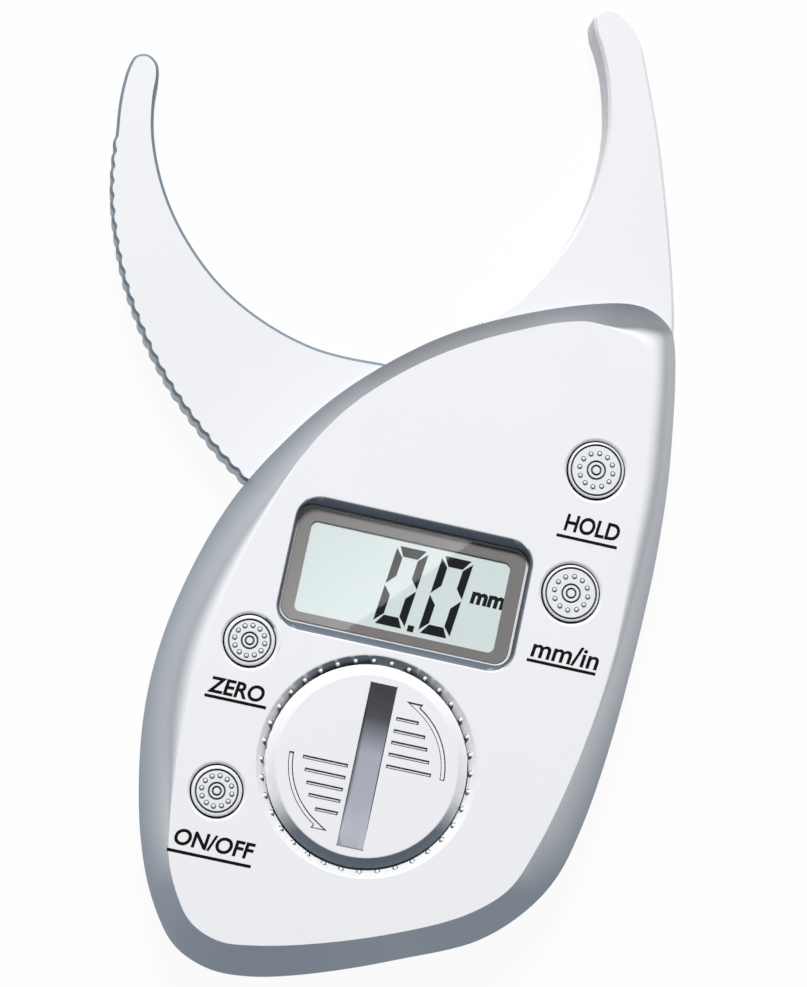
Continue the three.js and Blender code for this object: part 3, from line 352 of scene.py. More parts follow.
def bright_metal(tree, colour, roughness, size):
    """Plated or drawn metal: bright, with fine drawing lines that streak its gloss."""
    place = add_node(tree, "ShaderNodeTexCoord").outputs["Object"]
    noise = add_node(tree, "ShaderNodeTexNoise", {
        "Vector": place, "Scale": 1 / (size * MM), "Detail": 3.0,
    })
    rough = add_node(tree, "ShaderNodeMapRange", {
        "Value": noise.outputs["Fac"], "To Min": roughness * 0.7, "To Max": roughness * 1.4,
    }).outputs[0]
    return add_node(tree, "ShaderNodeBsdfPrincipled", {
        "Base Color": clouded(tree, colour, size * 4, 0.08), "Metallic": 1.0,
        "Roughness": rough, "Normal": grain(tree, size, 0.002),
    }).outputs[0]


def coated_board(tree, colour):
    """Glass-fibre board under solder mask: green lacquer with the weave just showing."""
    place = add_node(tree, "ShaderNodeTexCoord").outputs["Object"]
    weave = add_node(tree, "ShaderNodeTexWave", {"Vector": place, "Scale": 1 / (5 * MM)})
    bump = add_node(tree, "ShaderNodeBump", {
        "Height": weave.outputs["Fac"], "Distance": 0.01 * MM,
    }).outputs["Normal"]
    return add_node(tree, "ShaderNodeBsdfPrincipled", {
        "Base Color": clouded(tree, colour, 3, 0.2), "Roughness": 0.35, "Normal": bump,
    }).outputs[0]


def soft_rubber(tree, colour):
    """Conductive silicone rubber: matt, with a fine skin."""
    return add_node(tree, "ShaderNodeBsdfPrincipled", {
        "Base Color": clouded(tree, colour, 2, 0.1), "Roughness": 0.8,
        "Sheen Weight": 0.2, "Normal": grain(tree, 0.3, 0.01),
    }).outputs[0]


def cover_plastic():
    return material_of("white_abs_moulding", moulded, colours().face, 0.42)


# White cover plastic with painted shade on the lid's seat, mostly where it faces the handle's end
def seat_plastic():
    c = colours()
    return material_of("white_abs_lid_seat", moulded, c.face, 0.42, c.painted_side_shade, SEAT_SHADE)


# The cover's sloped rim: white plastic with painted shade in grey
def cover_painted_shade():
    c = colours()
    return material_of(
        "white_abs_painted_slope_shade", painted_slope_shade, c.face, c.shoulder, c.flank, COVER_LOW, FACE_TOP,
        SLOPE_SHADE_ENDS)


def recess_painted_shade():
    """Painted shade in grey on the slopes round the window, darker than on the rim."""
    c = colours()
    return material_of(
        "painted_shade_round_window", painted_slope_shade, c.face, c.recess_edge, c.recess,
        FACE_TOP - RECESS_DEPTH, FACE_TOP)


def jaw_plastic():
    return material_of("white_abs_jaw", moulded, colours().jaw, 0.46)


# White jaw plastic with painted shade in grey on its walls
def thumb_jaw_plastic():
    c = colours()
    return material_of(
        "white_abs_jaw_painted_wall_shade", painted_slope_shade, c.jaw, c.jaw_wall, c.jaw_wall, JAW_LOW, JAW_HIGH)


# White lid plastic with painted shade on its bevel where it faces the handle's end
def lid_plastic():
    c = colours()
    return material_of("white_abs_lid", moulded, c.lid, 0.44, c.painted_side_shade, LID_SHADE)


def button_plastic():
    return material_of("pale_abs_button", moulded, colours().button, 0.4)


def printing_ink():
    return material_of("pad_printed_ink", printed, colours().ink, 0.1)


def painted_gap_shade():
    """Painted shade in gaps, on the coin slot's side walls, on groove walls and under beads and
    pips.
    """
    return material_of("corner_shade", printed, colours().shade)


def plated_steel():
    """Zinc on steel screws: a bluish grey metal, duller than the spring's."""
    return material_of("zinc_plated_steel", bright_metal, hex_colour("#AEB2B6"), 0.32, 0.5)


def display_ground():
    return material_of("crystal_display", crystal_display, colours().display)


# Meshes

# Distances in metres: where corners merge, where a closed shape welds, and for level edges
MERGE, WELD, LEVEL = 0.003 * MM, 0.001 * MM, 0.002 * MM
# Slack of a height, in millimetres
TOUCH = 0.01
# Upward share of the normal, above which a face is level and below which it is a slope
FLAT_NORMAL, SLOPE_NORMAL = 0.9999, 0.999
# Bends up to which a merged copy joins flat faces and pairs of triangles
FLAT_BEND, PAIR_BEND, PAIR_SHAPE = (math.radians(degrees) for degrees in (0.3, 30, 120))
# Curved outlines: the sharpest bend, the ratio of lengths that makes a side straight, the cuts
BEND_LIMIT = math.radians(38)
LINE_RATIO, CUTS = 4, 3
# Rims: the longest sliver in millimetres, and the least way down as a share of the radius
SLIVER, LEAST_WAY = 2, 1.5
# Letters before they are scaled: half their thickness, and the steps in a curve
LETTER_HALF, LETTER_STEPS = 0.01, 4


def mesh_of(name, bm):
    """A mesh of a bmesh, which is freed."""
    mesh = bpy.data.meshes.new(name)
    bm.to_mesh(mesh)
    bm.free()
    return mesh


def linked(name, data):
    """An object of a mesh, text, camera or lamp, in the scene."""
    made = bpy.data.objects.new(name, data)
    bpy.context.scene.collection.objects.link(made)
    return made


def placed(name, bm, materials, body, replaced=()):
    """Makes a piece of a bmesh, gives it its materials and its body."""
    piece = linked(name, mesh_of(name, bm))
    for material in materials:
        piece.data.materials.append(material)
    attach(piece, body)
    if replaced:
        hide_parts(*replaced)
    return piece


def shade(bm, degrees=30):
    """Smooth shading, with sharp edges where the faces meet at more than an angle."""
    bm.normal_update()
    for face in bm.faces:
        face.smooth = True
    for edge in bm.edges:
        if len(edge.link_faces) == 2:
            edge.smooth = edge.calc_face_angle() < math.radians(degrees)


def even_normals(piece):
    """Lets wide flat faces set the normals along their rounded edges."""
    piece.modifiers.new("even_normals", "WEIGHTED_NORMAL").keep_sharp = True


def is_level(face):
    """True for a face that looks straight up or down."""
    return abs(face.normal.z) > FLAT_NORMAL


def merged_copy(node):
    """A frame node's mesh with its corners merged and its flats in whole faces."""
    bm = bmesh.new()
    bm.from_mesh(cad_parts[node].data)
    bmesh.ops.remove_doubles(bm, verts=bm.verts, dist=MERGE)
    bmesh.ops.dissolve_degenerate(bm, edges=bm.edges, dist=MERGE)
    bm.normal_update()
    level = [edge for edge in bm.edges if all(is_level(face) for face in edge.link_faces)]
    bmesh.ops.dissolve_limit(bm, angle_limit=FLAT_BEND, verts=[], edges=level)
    triangles = [face for face in bm.faces if len(face.verts) == 3]
    bmesh.ops.join_triangles(
        bm, faces=triangles, angle_face_threshold=PAIR_BEND, angle_shape_threshold=PAIR_SHAPE)
    bm.normal_update()
    return bm


def on_outline(edge):
    """True for a level edge that bounds or crosses a wall or slope."""
    if abs(edge.verts[0].co.z - edge.verts[1].co.z) > LEVEL:
        return False
    return any(abs(face.normal.z) < SLOPE_NORMAL for face in edge.link_faces)


def heading(edge, corner):
    """Direction in which the outline leaves an edge at one of its corners."""
    into = corner.co - edge.other_vert(corner).co
    straightest, least = None, BEND_LIMIT
    for other in corner.link_edges:
        if other is edge or not on_outline(other):
            continue
        onward = other.other_vert(corner).co - corner.co
        if into.angle(onward, math.pi) < least:
            straightest, least = onward, into.angle(onward)
    if straightest is None or into.length > LINE_RATIO * straightest.length:
        return into.normalized()
    if straightest.length > LINE_RATIO * into.length:
        return straightest.normalized()
    weighted = into.normalized() * straightest.length + straightest.normalized() * into.length
    return weighted.normalized()


def rounded_outlines(bm, lowest=0):
    """Turns the straight sides of curved outlines into curves through the same corners, from a
    lowest height in millimetres upwards."""
    plans = []
    for edge in bm.edges:
        if not on_outline(edge) or edge.verts[0].co.z < lowest * MM:
            continue
        start, end = edge.verts
        leave, arrive = -heading(edge, start), heading(edge, end)
        span = edge.calc_length()
        points = []
        for i in range(1, CUTS + 1):
            s = i / (CUTS + 1)
            points.append(
                start.co * (2 * s ** 3 - 3 * s ** 2 + 1) + leave * span * (s ** 3 - 2 * s ** 2 + s)
                + end.co * (3 * s ** 2 - 2 * s ** 3) + arrive * span * (s ** 3 - s ** 2)
            )
        plans.append((edge, start, (end.co - start.co).copy(), points))
    walls = {}
    for plan in plans:
        for face in plan[0].link_faces:
            if abs(face.normal.z) < SLOPE_NORMAL:
                walls.setdefault(face, []).append(plan)
    corners = {face: list(face.verts) for face in walls}
    new = {}
    for edge, start, along, points in plans:
        last, row = start, []
        for i, point in enumerate(points):
            _, vert = bmesh.utils.edge_split(edge, last, 1 / (len(points) + 1 - i))
            row.append((vert, point))
            last = vert
        new[id(along)] = [vert for vert, _ in row]
        for vert, point in row:
            vert.co = point
    for face, found in walls.items():
        if len(found) == 2:
            first, second = found
            rows = [new[id(first[2])], new[id(second[2])]]
            if first[2].dot(second[2]) < 0:
                rows[1] = rows[1][::-1]
            for a, b in zip(*rows):
                divide(a, b)
        elif len(found) == 1 and len(corners[face]) == 3:
            row = new[id(found[0][2])]
            apex = [v for v in corners[face] if abs(v.co.z - row[0].co.z) > LEVEL]
            for vert in row:
                divide(vert, apex[0])
    bm.normal_update()


def divide(a, b):
    """Splits the wall face that two corners share, from one to the other."""
    for face in a.link_faces:
        if face in b.link_faces and not is_level(face):
            bmesh.utils.face_split(face, a, b)
            return


def flats_at(bm, height):
    """Level faces that look up at a height in millimetres."""
    return [
        face for face in bm.faces
        if is_level(face) and face.normal.z > 0
        and abs(face.calc_center_median().z / MM - height) < TOUCH
    ]


def whole_flats(bm, height):
    """Joins slivers of the flat face to the wide faces beside them."""
    flat = set(flats_at(bm, height))
    short = [
        edge for edge in bm.edges
        if edge.calc_length() < SLIVER * MM and all(face in flat for face in edge.link_faces)
    ]
    bmesh.ops.dissolve_edges(bm, edges=short, use_verts=False, use_face_split=False)


def divided_walls(bm, height):
    """Splits walls of many corners below the flat face, so that each corner has a way down."""
    broad = [
        face for face in bm.faces
        if len(face.verts) > 4 and abs(face.normal.z) < SLOPE_NORMAL
        and any(abs(vert.co.z / MM - height) < TOUCH for vert in face.verts)
    ]
    bmesh.ops.triangulate(bm, faces=broad)


def way_down(vert, radius):
    """Step of one radius down the steepest edge below a corner, or None if that edge is short."""
    lower = [edge.other_vert(vert).co - vert.co for edge in vert.link_edges]
    lower = [way for way in lower if way.z < -LEVEL]
    steepest = min(lower, key=lambda way: way.normalized().z, default=Vector())
    return steepest.normalized() * radius if steepest.length > radius * LEAST_WAY else None


def eased_rim(bm, height, radius):
    """Chamfers every outline of the flat faces at a height, in millimetres."""
    divided_walls(bm, height)
    whole_flats(bm, height)
    flats = flats_at(bm, height)
    ways = {vert: way_down(vert, radius) for face in flats for vert in face.verts}
    downhill = {}
    for vert, way in ways.items():
        beside = [ways.get(edge.other_vert(vert)) for edge in vert.link_edges]
        beside = [one for one in beside if one is not None]
        if way is None and len(beside) == 2:
            way = (beside[0] + beside[1]) / 2
        if way is not None:
            downhill[tuple(vert.co)] = way
    bmesh.ops.inset_region(
        bm, faces=flats, thickness=radius, use_boundary=True, use_even_offset=True)
    for vert in bm.verts:
        vert.co += downhill.get(tuple(vert.co), Vector())
    bm.normal_update()


def spun(profile, x, y, steps):
    """Turned solid about an upright axis; the profile is radius and height in millimetres."""
    bm = bmesh.new()
    corners = [bm.verts.new(((x + r) * MM, y * MM, z * MM)) for r, z in profile]
    edges = [bm.edges.new(pair) for pair in zip(corners, corners[1:])]
    bmesh.ops.spin(
        bm, geom=corners + edges, cent=(x * MM, y * MM, 0), axis=(0, 0, 1), dvec=(0, 0, 0),
        angle=math.tau, steps=steps, use_merge=True, use_normal_flip=False, use_duplicate=False,
    )
    bmesh.ops.remove_doubles(bm, verts=bm.verts, dist=WELD)
    bmesh.ops.recalc_face_normals(bm, faces=bm.faces)
    return bm


def add_bar(bm, width, depth, low, high, place):
    """Upright block on a place matrix, from its middle in X and Y, in millimetres."""
    made = bmesh.ops.create_cube(bm, size=1)["verts"]
    bmesh.ops.scale(bm, verts=made, vec=(width * MM, depth * MM, (high - low) * MM))
    bmesh.ops.translate(bm, verts=made, vec=(0, 0, (low + high) / 2 * MM))
    bmesh.ops.transform(bm, matrix=place, verts=made)


def add_plate(bm, corners, low, high):
    """Flat plate of an outline of corner points, in millimetres."""
    face = bm.faces.new([bm.verts.new((x * MM, y * MM, low * MM)) for x, y in corners])
    thicken(bm, [face], high - low)


def rounded_sheet(width, depth, corner, x, y, z):
    """Flat rounded rectangle as one face, in millimetres."""
    bm = bmesh.new()
    bmesh.ops.create_grid(bm, x_segments=1, y_segments=1, size=0.5)
    bmesh.ops.scale(bm, verts=bm.verts, vec=(width * MM, depth * MM, 1))
    bmesh.ops.bevel(
        bm, geom=bm.verts[:], offset=corner * MM, offset_type="OFFSET", segments=8,
        profile=0.5, affect="VERTICES", material=-1,
    )
    bmesh.ops.translate(bm, verts=bm.verts, vec=(x * MM, y * MM, z * MM))
    return bm


def thicken(bm, faces, height):
    """Raises flat faces into a plate, in millimetres."""
    grown = bmesh.ops.extrude_face_region(bm, geom=faces)["geom"]
    raised = [v for v in grown if isinstance(v, bmesh.types.BMVert)]
    bmesh.ops.translate(bm, verts=raised, vec=(0, 0, height * MM))
    bmesh.ops.recalc_face_normals(bm, faces=bm.faces)


def turned_about(x, y, degrees):
    """Matrix to a place in millimetres, after a turn about the upright axis."""
    return Matrix.Translation((x * MM, y * MM, 0)) @ Matrix.Rotation(math.radians(degrees), 4, "Z")


def add_words(bm, words, left, right, base, height, z, slant, weight, measure="H"):
    """Flat words between two places; height is that of the measure letter."""
    def letters(text):
        curve = bpy.data.curves.new(text, "FONT")
        curve.body = text
        curve.shear = slant
        curve.offset = weight
        curve.extrude = LETTER_HALF
        curve.resolution_u = LETTER_STEPS
        holder = linked(text, curve)
        bpy.context.view_layer.update()
        mesh = bpy.data.meshes.new_from_object(holder)
        bpy.data.objects.remove(holder)
        bpy.data.curves.remove(curve)
        return mesh

    sample = letters(measure)
    tall = max(v.co.y for v in sample.vertices) - min(v.co.y for v in sample.vertices)
    bpy.data.meshes.remove(sample)
    mesh = letters(words)
    low = min(v.co.x for v in mesh.vertices)
    wide = max(v.co.x for v in mesh.vertices) - low
    thick = sizes().print_height
    fit = Matrix.Diagonal((
        (right - left) * MM / wide, height * MM / tall, thick / LETTER_HALF / 2, 1))
    place = Matrix.Translation((left * MM, base * MM, z * MM + thick / 2)) @ fit
    mesh.transform(place @ Matrix.Translation((-low, 0, 0)))
    bm.from_mesh(mesh)
    bpy.data.meshes.remove(mesh)
    bmesh.ops.remove_doubles(bm, verts=bm.verts, dist=LEVEL)


# Front cover, in millimetres

# Gap round a button or the window, reach of the slopes round the window and lid, lid's margin
GAP, WINDOW_REACH, SEAT_REACH, SEAT_MARGIN = 0.45, 2.4, 2.6, 2
# Upward share of the normal of walls, and of nearly flat faces
UPRIGHT, NEARLY_FLAT = 0.1, 0.99
SLOPE_STEPS = 12


def inside(face, box, margin):
    """True where the middle of a face lies in a box grown by a margin in millimetres."""
    low, high = box
    place = face.calc_center_median()
    return all(low[i] - margin * MM < place[i] < high[i] + margin * MM for i in range(3))


def outer_slope(bm):
    """Faces of the cover's outside, from its rim up to the flat face."""
    start = max(bm.faces, key=lambda face: face.calc_center_median().y)
    found, waiting = {start}, [start]
    while waiting:
        for edge in waiting.pop().edges:
            for face in edge.link_faces:
                if face in found or face.normal.z < -UPRIGHT:
                    continue
                if all(vert.co.z > FACE_TOP * MM - LEVEL for vert in face.verts):
                    continue
                found.add(face)
                waiting.append(face)
    return found


def ordered(edges, start):
    """Corners of a closed ring of edges, in order from a starting corner."""
    beside = {}
    for edge in edges:
        for vert in edge.verts:
            beside.setdefault(vert, []).append(edge.other_vert(vert))
    ring = [start]
    while len(ring) < len(beside):
        ring.append(next(vert for vert in beside[ring[-1]] if vert not in ring[-2:]))
    return ring


def remade_slope(bm):
    """Remakes the cover's slope, from its lip to its flat face, in fine steps.

    Each point of the rim climbs to the face on a mix of a straight line and a quarter round,
    as the frame's slope does, and the share of the round is read from the frame's first step."""
    lip = sorted({round(vert.co.z, 6) for face in outer_slope(bm) for vert in face.verts})[1]
    slope = {face for face in outer_slope(bm) if face.calc_center_median().z > lip + LEVEL}
    slope |= {face for face in bm.faces if all(
        lip + LEVEL < vert.co.z < FACE_TOP * MM - LEVEL
        and any(other in slope for other in vert.link_faces) for vert in face.verts)}
    border = [
        edge for face in slope for edge in face.edges
        if sum(other in slope for other in edge.link_faces) == 1
    ]
    rim_edges = [edge for edge in border if edge.verts[0].co.z < lip + LEVEL]
    face_edges = [edge for edge in border if edge.verts[0].co.z > FACE_TOP * MM - LEVEL]

    def above(vert):
        return next(
            edge.other_vert(vert) for edge in vert.link_edges
            if edge.other_vert(vert).co.z > vert.co.z + LEVEL
        )

    first = max((vert for edge in rim_edges for vert in edge.verts), key=lambda vert: vert.co.y)
    top = first
    while top.co.z < FACE_TOP * MM - LEVEL:
        top = above(top)
    rim, crest = ordered(rim_edges, first), ordered(face_edges, top)
    if (rim[1].co - first.co).dot(crest[1].co - top.co) < 0:
        crest = crest[:1] + crest[:0:-1]
    climb = {}
    for low, high in zip(rim, crest):
        step = above(low).co - low.co
        whole = high.co - low.co
        rise, across = step.z / whole.z, step.xy.length / whole.xy.length
        soft = (rise - across) / (rise - 1 + math.sqrt(1 - rise * rise))
        climb[low] = (low.co.copy(), whole.copy(), min(max(soft, 0), 1))

    bmesh.ops.delete(bm, geom=list(slope), context="FACES")
    for i in range(1, SLOPE_STEPS + 1):
        angle = math.pi / 2 * i / SLOPE_STEPS
        rise, round_share = math.sin(angle), 1 - math.cos(angle)
        grown = bmesh.ops.extrude_edge_only(bm, edges=rim_edges)["geom"]
        rim_edges = [one for one in grown if isinstance(one, bmesh.types.BMEdge)]
        for vert in [one for one in grown if isinstance(one, bmesh.types.BMVert)]:
            below = next(
                edge.other_vert(vert) for edge in vert.link_edges
                if edge.other_vert(vert) in climb and edge not in rim_edges
            )
            foot, whole, soft = climb[vert] = climb[below]
            across = rise + (round_share - rise) * soft
            vert.co = foot + Vector((whole.x * across, whole.y * across, whole.z * rise))
    bmesh.ops.remove_doubles(bm, verts=bm.verts, dist=WELD)
    bmesh.ops.recalc_face_normals(bm, faces=bm.faces)


def trued_circles(bm):
    """Sets the corners of the flat face round each button and round the lid on true circles."""
    nodes = {"battery_lid": SEAT_MARGIN, **{f"{name}_button": GAP for name in CONTROLS}}
    for node, margin in nodes.items():
        low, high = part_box(node)
        centre, reach = (low + high).xy / 2, (high.x - low.x) / 2 + margin * MM
        rim = [
            vert for vert in bm.verts
            if vert.co.z > FACE_TOP * MM - LEVEL and (vert.co.xy - centre).length < reach
        ]
        radius = max((vert.co.xy - centre).length for vert in rim)
        for vert in rim:
            vert.co.xy = centre + (vert.co.xy - centre).normalized() * radius


class CALIPER_OT_front_cover(bpy.types.Operator):
    """Front cover with its rounded outlines and fine edges"""
    bl_idname = "caliper.front_cover"
    bl_label = "Front cover"

    def execute(self, context):
        bm = merged_copy("front_cover")
        trued_circles(bm)
        rounded_outlines(bm)
        remade_slope(bm)
        eased_rim(bm, FACE_TOP, sizes().edge)
        shade(bm)
        # The outer slope takes painted shade in grey
        for face in outer_slope(bm):
            face.material_index = 1
        window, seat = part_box("display_window"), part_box("battery_lid")
        rooms = ["battery_lid", *(f"{name}_button" for name in CONTROLS)]
        boxes = [window, *(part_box(node) for node in rooms)]
        for face in bm.faces:
            sloped = UPRIGHT < face.normal.z < NEARLY_FLAT
            # Walls in the gaps round the window, lid and buttons take painted shade
            if abs(face.normal.z) < UPRIGHT and any(inside(face, box, GAP) for box in boxes):
                face.material_index = 2
            # Slopes round the window take their painted shade in grey
            elif sloped and inside(face, window, WINDOW_REACH):
                face.material_index = 3
            # Slopes round the lid take painted shade where they face the handle's end
            elif sloped and inside(face, seat, SEAT_REACH):
                face.material_index = 4
        even_normals(placed(
            "front_cover_shell", bm,
            [cover_plastic(), cover_painted_shade(), painted_gap_shade(), recess_painted_shade(), seat_plastic()],
            "case", ["front_cover"],
        ))
        return {"FINISHED"}


# Depth in millimetres below the back cover's faces from which the front cover is looked for
COVERED = 0.6


class CALIPER_OT_back_cover(bpy.types.Operator):
    """Back cover with the fixed jaw moulded on it"""
    bl_idname = "caliper.back_cover"
    bl_label = "Back cover and fixed jaw"

    def execute(self, context):
        bm = merged_copy("back_cover")
        rounded_outlines(bm)
        shade(bm)
        cover = merged_copy("front_cover")
        roof = BVHTree.FromBMesh(cover)
        cover.free()
        # Faces under the front cover keep the rim's painted shade; the rest take the white jaw
        # plastic
        for face in bm.faces:
            within = face.calc_center_median() - face.normal * COVERED * MM
            if roof.ray_cast(within, Vector((0, 0, 1)))[0] is None:
                face.material_index = 1
        even_normals(placed(
            "back_cover_shell", bm, [cover_painted_shade(), jaw_plastic()], "case",
            ["back_cover"],
        ))
        return {"FINISHED"}


class CALIPER_OT_moving_jaw(bpy.types.Operator):
    """Thumb jaw with its ribs and the hollows in its back"""
    bl_idname = "caliper.moving_jaw"
    bl_label = "Moving jaw"

    def execute(self, context):
        bm = merged_copy("moving_jaw")
        rounded_outlines(bm)
        shade(bm)
        even_normals(placed(
            "moving_jaw_arm", bm, [thumb_jaw_plastic()], "moving_jaw",
            ["moving_jaw"],
        ))
        return {"FINISHED"}


# Battery lid, in millimetres from its middle

# Least radius of the face's edge and of the side wall
FACE_EDGE, LID_SIDE = 17, 19.4
# How far the bevel is widened, its drop, and the drop of the outlines that show
BEVEL_BLEND, BEVEL_DROP, LID_RIM = 0.8, 1.2, 1.8
# Chamfer of the rim, as a share of the front cover's
LID_EDGE_SHARE = 0.8
# Coin slot: half width, half length, depth, skin, and the sideways share of its walls' normals
SLOT_HALF, SLOT_REACH, SLOT_DEEP, SLOT_SKIN, SIDEWAYS = 2.7, 16, 2.7, 0.02, 0.9
# Height of the cutters over the face
OVERRUN = 0.3
# Grooves: the height of each and the reach of its far end, then where they start
GROOVES = [(10.1, 8.1), (7.7, 9.9), (5.45, 10.8), (3.1, 11.65), (0.77, 12.5)]
GROOVE_START = 3.6
# Arrow: its radii, its turns in degrees, its steps and the corners of its head
ARROW_OUTER, ARROW_INNER = 15.25, 14.3
ARROW_FROM, ARROW_TO, ARROW_STEPS = 1, 59, 20
ARROW_HEAD = ((8.25, 13.8), (4.9, 13.8))


class CALIPER_OT_battery_lid(bpy.types.Operator):
    """Battery lid with its coin slot, grip grooves and arrows"""
    bl_idname = "caliper.battery_lid"
    bl_label = "Battery lid"

    def execute(self, context):
        lid, top = middle("battery_lid"), box_of("battery_lid")[1].z
        bm = merged_copy("battery_lid")
        rounded_outlines(bm, top - LID_RIM)
        eased_rim(bm, top, sizes().edge * LID_EDGE_SHARE)
        for vert in bm.verts:
            out = vert.co.xy - lid.xy * MM
            share = max(0, 1 - (top - vert.co.z / MM) / BEVEL_DROP)
            if out.length > FACE_EDGE * MM:
                vert.co.xy -= out.normalized() * BEVEL_BLEND * MM * share
        bm.normal_update()
        # The coin slot's side walls and the lid's side wall in the gap take painted shade; the
        # rest of the slot takes its own painted shade
        for face in bm.faces:
            place = face.calc_center_median() / MM
            in_depth = SLOT_SKIN < top - place.z < SLOT_DEEP
            if in_depth and abs(place.x - lid.x) < SLOT_HALF:
                if abs(place.y - lid.y) < SLOT_REACH:
                    face.material_index = 1 if abs(face.normal.x) > SIDEWAYS else 2
            elif abs(face.normal.z) < UPRIGHT and (place - lid).xy.length > LID_SIDE:
                face.material_index = 1
        bmesh.ops.triangulate(bm, faces=[
            face for face in bm.faces if len(face.verts) > 4 and not is_level(face)])
        slot = material_of(
            "coin_slot_painted_shade", painted_slot_shade, colours().slot, lid.y - SLOT_REACH,
            lid.y + SLOT_REACH)
        piece = placed(
            "battery_lid_disc", bm, [lid_plastic(), painted_gap_shade(), slot], "battery_lid",
            ["battery_lid"],
        )
        carve(piece, self.cutters(lid, top))
        bm = bmesh.new()
        bm.from_mesh(piece.data)
        shade(bm)
        bm.to_mesh(piece.data)
        bm.free()
        even_normals(piece)
        return {"FINISHED"}

    def cutters(self, lid, top):
        """Shapes of the grooves and arrows, on both sides of the slot."""
        bm = bmesh.new()
        half = sizes().groove_width / MM / 2
        for turn in (0, 180):
            place = turned_about(lid.x, lid.y, turn)
            for height, reach in GROOVES:
                below, above = height - half, height + half
                add_groove(bm, [
                    (GROOVE_START, below), (reach, below), (reach, above), (GROOVE_START, above),
                ], top, place)
            add_groove(bm, self.arrow(), top, place)
        return bm

    def arrow(self):
        """Outline of the arrow: an arc that broadens to a head cut straight across."""
        turns = [
            math.radians(ARROW_FROM + (ARROW_TO - ARROW_FROM) * i / ARROW_STEPS)
            for i in range(ARROW_STEPS + 1)
        ]
        outer, inner = (
            [(radius * math.cos(turn), radius * math.sin(turn)) for turn in turns]
            for radius in (ARROW_OUTER, ARROW_INNER))
        return outer + list(ARROW_HEAD) + inner[::-1]


def drawn_in(corners, distance):
    """Counter-clockwise outline moved inwards by a distance."""
    moved = []
    for i, corner in enumerate(corners):
        before = Vector(corner) - Vector(corners[i - 1])
        after = Vector(corners[(i + 1) % len(corners)]) - Vector(corner)
        inward = [Vector((-side.y, side.x)).normalized() for side in (before, after)]
        middle_way = (inward[0] + inward[1]).normalized()
        moved.append(Vector(corner) + middle_way * distance / middle_way.dot(inward[0]))
    return moved


def add_groove(bm, corners, top, place):
    """Cutter for a groove with leaning walls in painted shade, from the outline of its mouth."""
    size = sizes()
    floor = drawn_in(corners, size.groove_draft / MM)
    levels = ((corners, top + OVERRUN), (corners, top), (floor, top - size.groove_depth / MM))
    rows = [
        [bm.verts.new(place @ (Vector((x, y, z)) * MM)) for x, y in points]
        for points, z in levels
    ]
    for level, (upper, lower) in enumerate(zip(rows, rows[1:])):
        for i in range(len(corners)):
            wall = bm.faces.new((upper[i - 1], upper[i], lower[i], lower[i - 1]))
            # Walls below the face take painted shade
            wall.material_index = level
    bm.faces.new(rows[0])
    bm.faces.new(rows[-1])
    bmesh.ops.recalc_face_normals(bm, faces=bm.faces)


# Ring of beads round the lid, in millimetres

BEAD_RING, BEAD_DROP = 20.4, 0.9
# Start of the ring, as a share of the spacing
BEAD_PHASE = 0.8
# Disc of painted shadow at a bead's foot: its radius as a share of the bead's, its thickness and
# its drop
FOOT_SHARE, FOOT_THICK, FOOT_DROP = 1.35, 0.3, 0.1


def add_shadow_disc(bm, radius, thick, place):
    """Disc of painted shadow round the foot of a bead or a pip, its thickness and place in
    millimetres.
    """
    made = bmesh.ops.create_cone(
        bm, cap_ends=True, segments=16, radius1=radius, radius2=radius, depth=thick * MM)["verts"]
    bmesh.ops.translate(bm, verts=made, vec=place * MM)
    for face in {face for vert in made for face in vert.link_faces}:
        face.material_index = 1


class CALIPER_OT_beads(bpy.types.Operator):
    """Ring of small beads on the countersink round the battery lid"""
    bl_idname = "caliper.beads"
    bl_label = "Beads round the lid"

    def execute(self, context):
        size = sizes()
        lid = middle("battery_lid")
        bm = bmesh.new()
        for i in range(size.beads):
            made = bmesh.ops.create_uvsphere(
                bm, u_segments=12, v_segments=8, radius=size.bead)["verts"]
            angle = math.tau * (i + BEAD_PHASE) / size.beads
            place = Vector((
                lid.x + BEAD_RING * math.cos(angle), lid.y + BEAD_RING * math.sin(angle),
                FACE_TOP - BEAD_DROP))
            bmesh.ops.translate(bm, verts=made, vec=place * MM)
            add_shadow_disc(bm, size.bead * FOOT_SHARE, FOOT_THICK, place - Vector((0, 0, FOOT_DROP)))
        shade(bm, 60)
        placed("lid_seat_beads", bm, [cover_plastic(), painted_gap_shade()], "case")
        return {"FINISHED"}


# Buttons, in millimetres

# Face of a wide button; the ring of pips and the middle rings of a small one are scaled to it
WIDE_RADIUS, PIP_RING, MIDDLE_RINGS = 5.55, 3.35, (1.75, 0.9)
RING_INSET = {"hold": 0.6, "unit": 0.6, "zero": 0.85, "power": 0.85}
FLANGE, FLANGE_HEIGHT, SKIN, BOSS = 0.8, 0.9, 1.1, 1.8
# Depths of the hollow, of the dished face and of the grooves below the top
ROOF_DEPTH, DISH_DEPTH, GROOVE_SINK = 1.45, 0.06, 0.4
# Rounding at the top of the side, then the lips and draft of a groove and the middle's crown
BRIM_WIDE, BRIM_LOW, BRIM_STEP = 0.35, 0.35, 0.1
LIP, DRAFT, CROWN = 0.05, 0.03, 0.02
# Depths between which a groove carries painted shade, depth from which the side carries it, and
# the side's skin
DARK_FROM, DARK_TO, SIDE_TOP, SIDE_SKIN = 0.2, 0.5, 0.4, 0.02
BUTTON_STEPS = 96
# Pips: height as a share of the radius, sink, and the overhang, thickness and sink of the disc of
# painted shadow at the foot
PIP_FLATNESS, PIP_SINK, PIP_FOOT, PIP_FOOT_THICK, PIP_FOOT_SINK = 0.8, 0.1, 0.14, 0.1, 0.08


